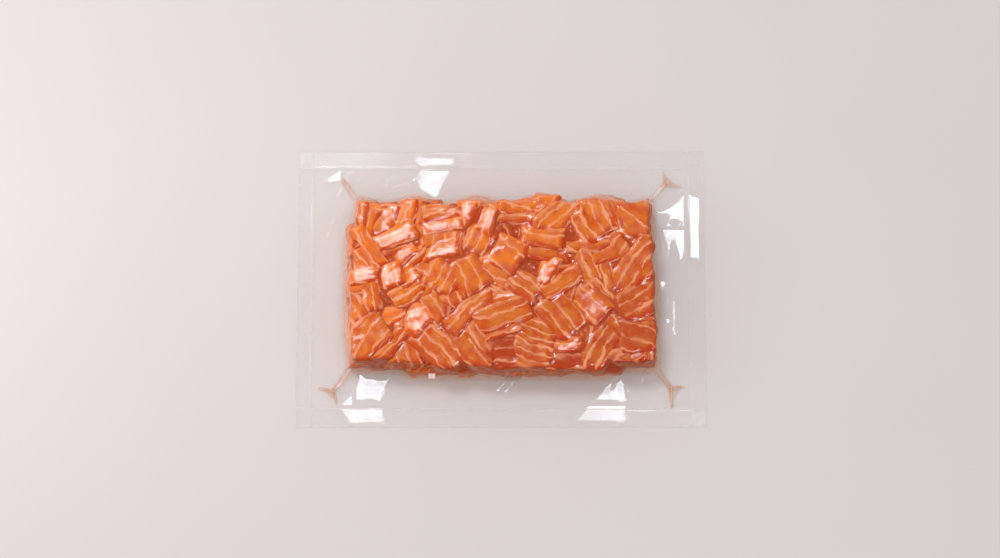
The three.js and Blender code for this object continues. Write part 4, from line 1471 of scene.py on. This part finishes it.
# %% Tight film over the block
WALL_PAINTED_LIGHT = (0.86, 0.52, 0.40, 1)
WALL_JUICE_IN_SHADE = (0.42, 0.100, 0.036, 1)
WALL_TURN = (-0.1, 0.6)  # from turned away to turned towards the light
WALL_CLOUD_SIZE = 5
WALL_CLOUD = 0.4
WALL_SHARE = (0.35, 1.15)
STREAKS_SIZE = 2.2
STREAKS = (0.45, 0.7)
STREAKS_SHARE = 0.7


def plain_relief(place, crinkles):
    return crinkles


def wall_juice(f, place):
    """Juice gathers behind the upright film. Its colour paints the light: pale where the wall faces the
    light, and elsewhere red-brown juice, darkened as painted shade.
    """
    wall, wall_lit, loose = (f.attribute(name) for name in ("wall", "wall_lit", "loose"))
    cloud = f.noise(place, WALL_CLOUD_SIZE)
    streaks = f.step(f.noise(place, STREAKS_SIZE, roughness=STREAK_ROUGHNESS, distortion=1.0), STREAKS)
    colour = f.blend(f.step(wall_lit + cloud * WALL_CLOUD + loose, WALL_TURN), WALL_JUICE_IN_SHADE, WALL_PAINTED_LIGHT)
    # The loose edge of the top takes the painted light's pale colour too, and its pale streaks are juice in
    # the loose film together with a painted sheen.
    return wall * mix(WALL_SHARE, cloud) + loose * streaks * STREAKS_SHARE, colour


# %% Loose film in the margin
FOLD_JUICE = (0.88, 0.44, 0.24, 1)
FOLD_JUICE_THICK = (0.68, 0.24, 0.10, 1)
MILKY = (0.90, 0.89, 0.88, 1)
HATCH = 1.9
HATCH_EDGE = (0, 0.4)
HATCH_DEPTH = 0.17
THIN_JUICE = (0.02, 0.1)
FOLD_CLOUD_SIZE = 2.5
JUICE_CLOUD = (0.5, 1.5)
MILKY_CLOUD = (0.05, 0.45)
LOOSE_STRENGTH = 2.2  # of both the juice and the milkiness


def hatched_relief(place, crinkles):
    """A fine diamond pattern is pressed into the two long welds."""
    f = place.finish
    along, across = (f.node("ShaderNodeSeparateXYZ", None, {0: place}, axis) for axis in ("X", "Y"))
    edge = [POUCH_WIDTH / 2 - WELD_WIDTH + shift for shift in HATCH_EDGE]
    turn = 2 * math.pi / (HATCH * MM)
    threads = ((along + across) * turn).math("SINE").math("MAXIMUM", ((along - across) * turn).math("SINE"))
    return crinkles + f.step(across.math("ABSOLUTE"), edge, MM) * threads * HATCH_DEPTH


def fold_juice(f, place):
    cloud = f.noise(place, FOLD_CLOUD_SIZE, 1.0)
    juice = f.attribute("juice") * mix(JUICE_CLOUD, cloud)
    milky = f.attribute("milky") * mix(MILKY_CLOUD, cloud)
    colour = f.blend(f.step(juice, THIN_JUICE), MILKY, f.blend(cloud, FOLD_JUICE, FOLD_JUICE_THICK))
    return juice.math("MAXIMUM", milky) * LOOSE_STRENGTH, colour


# %% Make the four finishes
raw_salmon = salmon_finish()
salmon_juice = juice_finish()
tight_film = film_finish(
    "tight_film", least_and_most=(0.012, 0.023), at_slant=0.1, crinkle=0.2, relief=plain_relief,
    wet=wall_juice)
loose_film = film_finish(
    "loose_film", least_and_most=(0.006, 0.012), at_slant=0.05, crinkle=0.1, relief=hatched_relief,
    wet=fold_juice)
print("finishes:", [finish.name for finish in (raw_salmon, salmon_juice, tight_film, loose_film)])

# %% Give every piece its finish and body, and hide the node it stands for
FINISHED = [(row, raw_salmon, "salmon", "salmon_cubes") for row in salmon_rows] + [
    (juice_in_grooves, salmon_juice, "salmon", "salmon_cubes"),
    (film_skin, tight_film, "film", "salmon_cubes"),
    (film_welds, loose_film, "film", "film_margin"),
]
for piece, material, slot, node in FINISHED:
    piece.data.materials.clear()
    piece.data.materials.append(material)
    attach(piece, "root")
    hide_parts(node)
print("finished pieces:", len(FINISHED))

# %% [markdown]
# ## Light, floor and camera
#
# One large soft light stands high at the back left. The tops that lean that way mirror it as pale patches,
# and the block throws a soft shadow to the front right. The fill light stands opposite, and is only there
# to be mirrored: it is hidden from everything dull, so it takes no shadow away. The world lights the rest
# evenly.

# %% Floor
FLOOR_SIZE = 6  # in metres
FLOOR_SHADES = ((0.628, 0.568, 0.553, 1), (0.658, 0.596, 0.580, 1))
FLOOR_CLOUD = 120


def add_floor():
    deselect_everything()
    bpy.ops.mesh.primitive_plane_add(size=FLOOR_SIZE, location=(0, 0, 0))
    floor = bpy.context.object
    floor.name = "floor"
    f = Finish("pale_floor")
    shade = f.blend(f.noise(f.place(), FLOOR_CLOUD, 1.0), *FLOOR_SHADES)
    floor.data.materials.append(f.surface(f.node("ShaderNodeBsdfPrincipled", None, {
        "Base Color": shade, "Roughness": 0.55})))


add_floor()

# %% Lights
# Each light: its direction, distance, aim, size, radiance and colour. Radiance 1 would mirror as white.
LIGHTS = {
    "key_softbox": (KEY_DIRECTION, LIGHT_DISTANCE * MM, (0, 0, 0), (0.5, 0.5), 21, (0.92, 0.99, 1.06)),
    "fill_softbox": (FILL_DIRECTION, LIGHT_DISTANCE * MM, (0, 0, 0), (0.4, 0.4), 30, (0.95, 0.99, 1.04)),
    "side_softbox": ((-0.85, 0.1, 0.5), 0.5, (0, 0, 0.02), (0.3, 0.4), 1.3, (1.0, 0.95, 0.9)),
}
WORLD_COLOUR = (1.0, 0.985, 0.97, 1)
WORLD_STRENGTH = 0.78


def add_softbox(name, direction, distance, aim, size, radiance, colour):
    deselect_everything()
    away = Vector(direction).normalized()
    bpy.ops.object.light_add(type="AREA", location=Vector(aim) + away * distance)
    light = bpy.context.object
    light.name = name
    light.rotation_euler = away.to_track_quat("Z", "Y").to_euler()
    light.data.shape = "RECTANGLE"
    light.data.size, light.data.size_y = size
    light.data.energy = radiance * math.pi * size[0] * size[1]
    light.data.color = colour
    return light


softboxes = {name: add_softbox(name, *values) for name, values in LIGHTS.items()}
softboxes["fill_softbox"].visible_diffuse = False
world = bpy.data.worlds.new("studio")
bpy.context.scene.world = world
world.use_nodes = True
background = world.node_tree.nodes["Background"].inputs
background["Color"].default_value = WORLD_COLOUR
background["Strength"].default_value = WORLD_STRENGTH
print("lights:", list(softboxes))

# %% Camera
CAMERA_LENS = 70
SENSOR_WIDTH = 36


def add_camera():
    away = Vector((camera_place() - CAMERA_AIM).tolist())
    bpy.ops.object.camera_add(location=camera_place() * MM)
    camera = bpy.context.object
    camera.rotation_euler = away.to_track_quat("Z", "Y").to_euler()
    camera.data.lens = CAMERA_LENS
    camera.data.sensor_width = SENSOR_WIDTH
    camera.data.clip_start = 0.01
    bpy.context.scene.camera = camera


add_camera()
bpy.context.scene.view_settings.view_transform = "Standard"
print("the camera stands at", camera_place().round(1).tolist(), "mm")
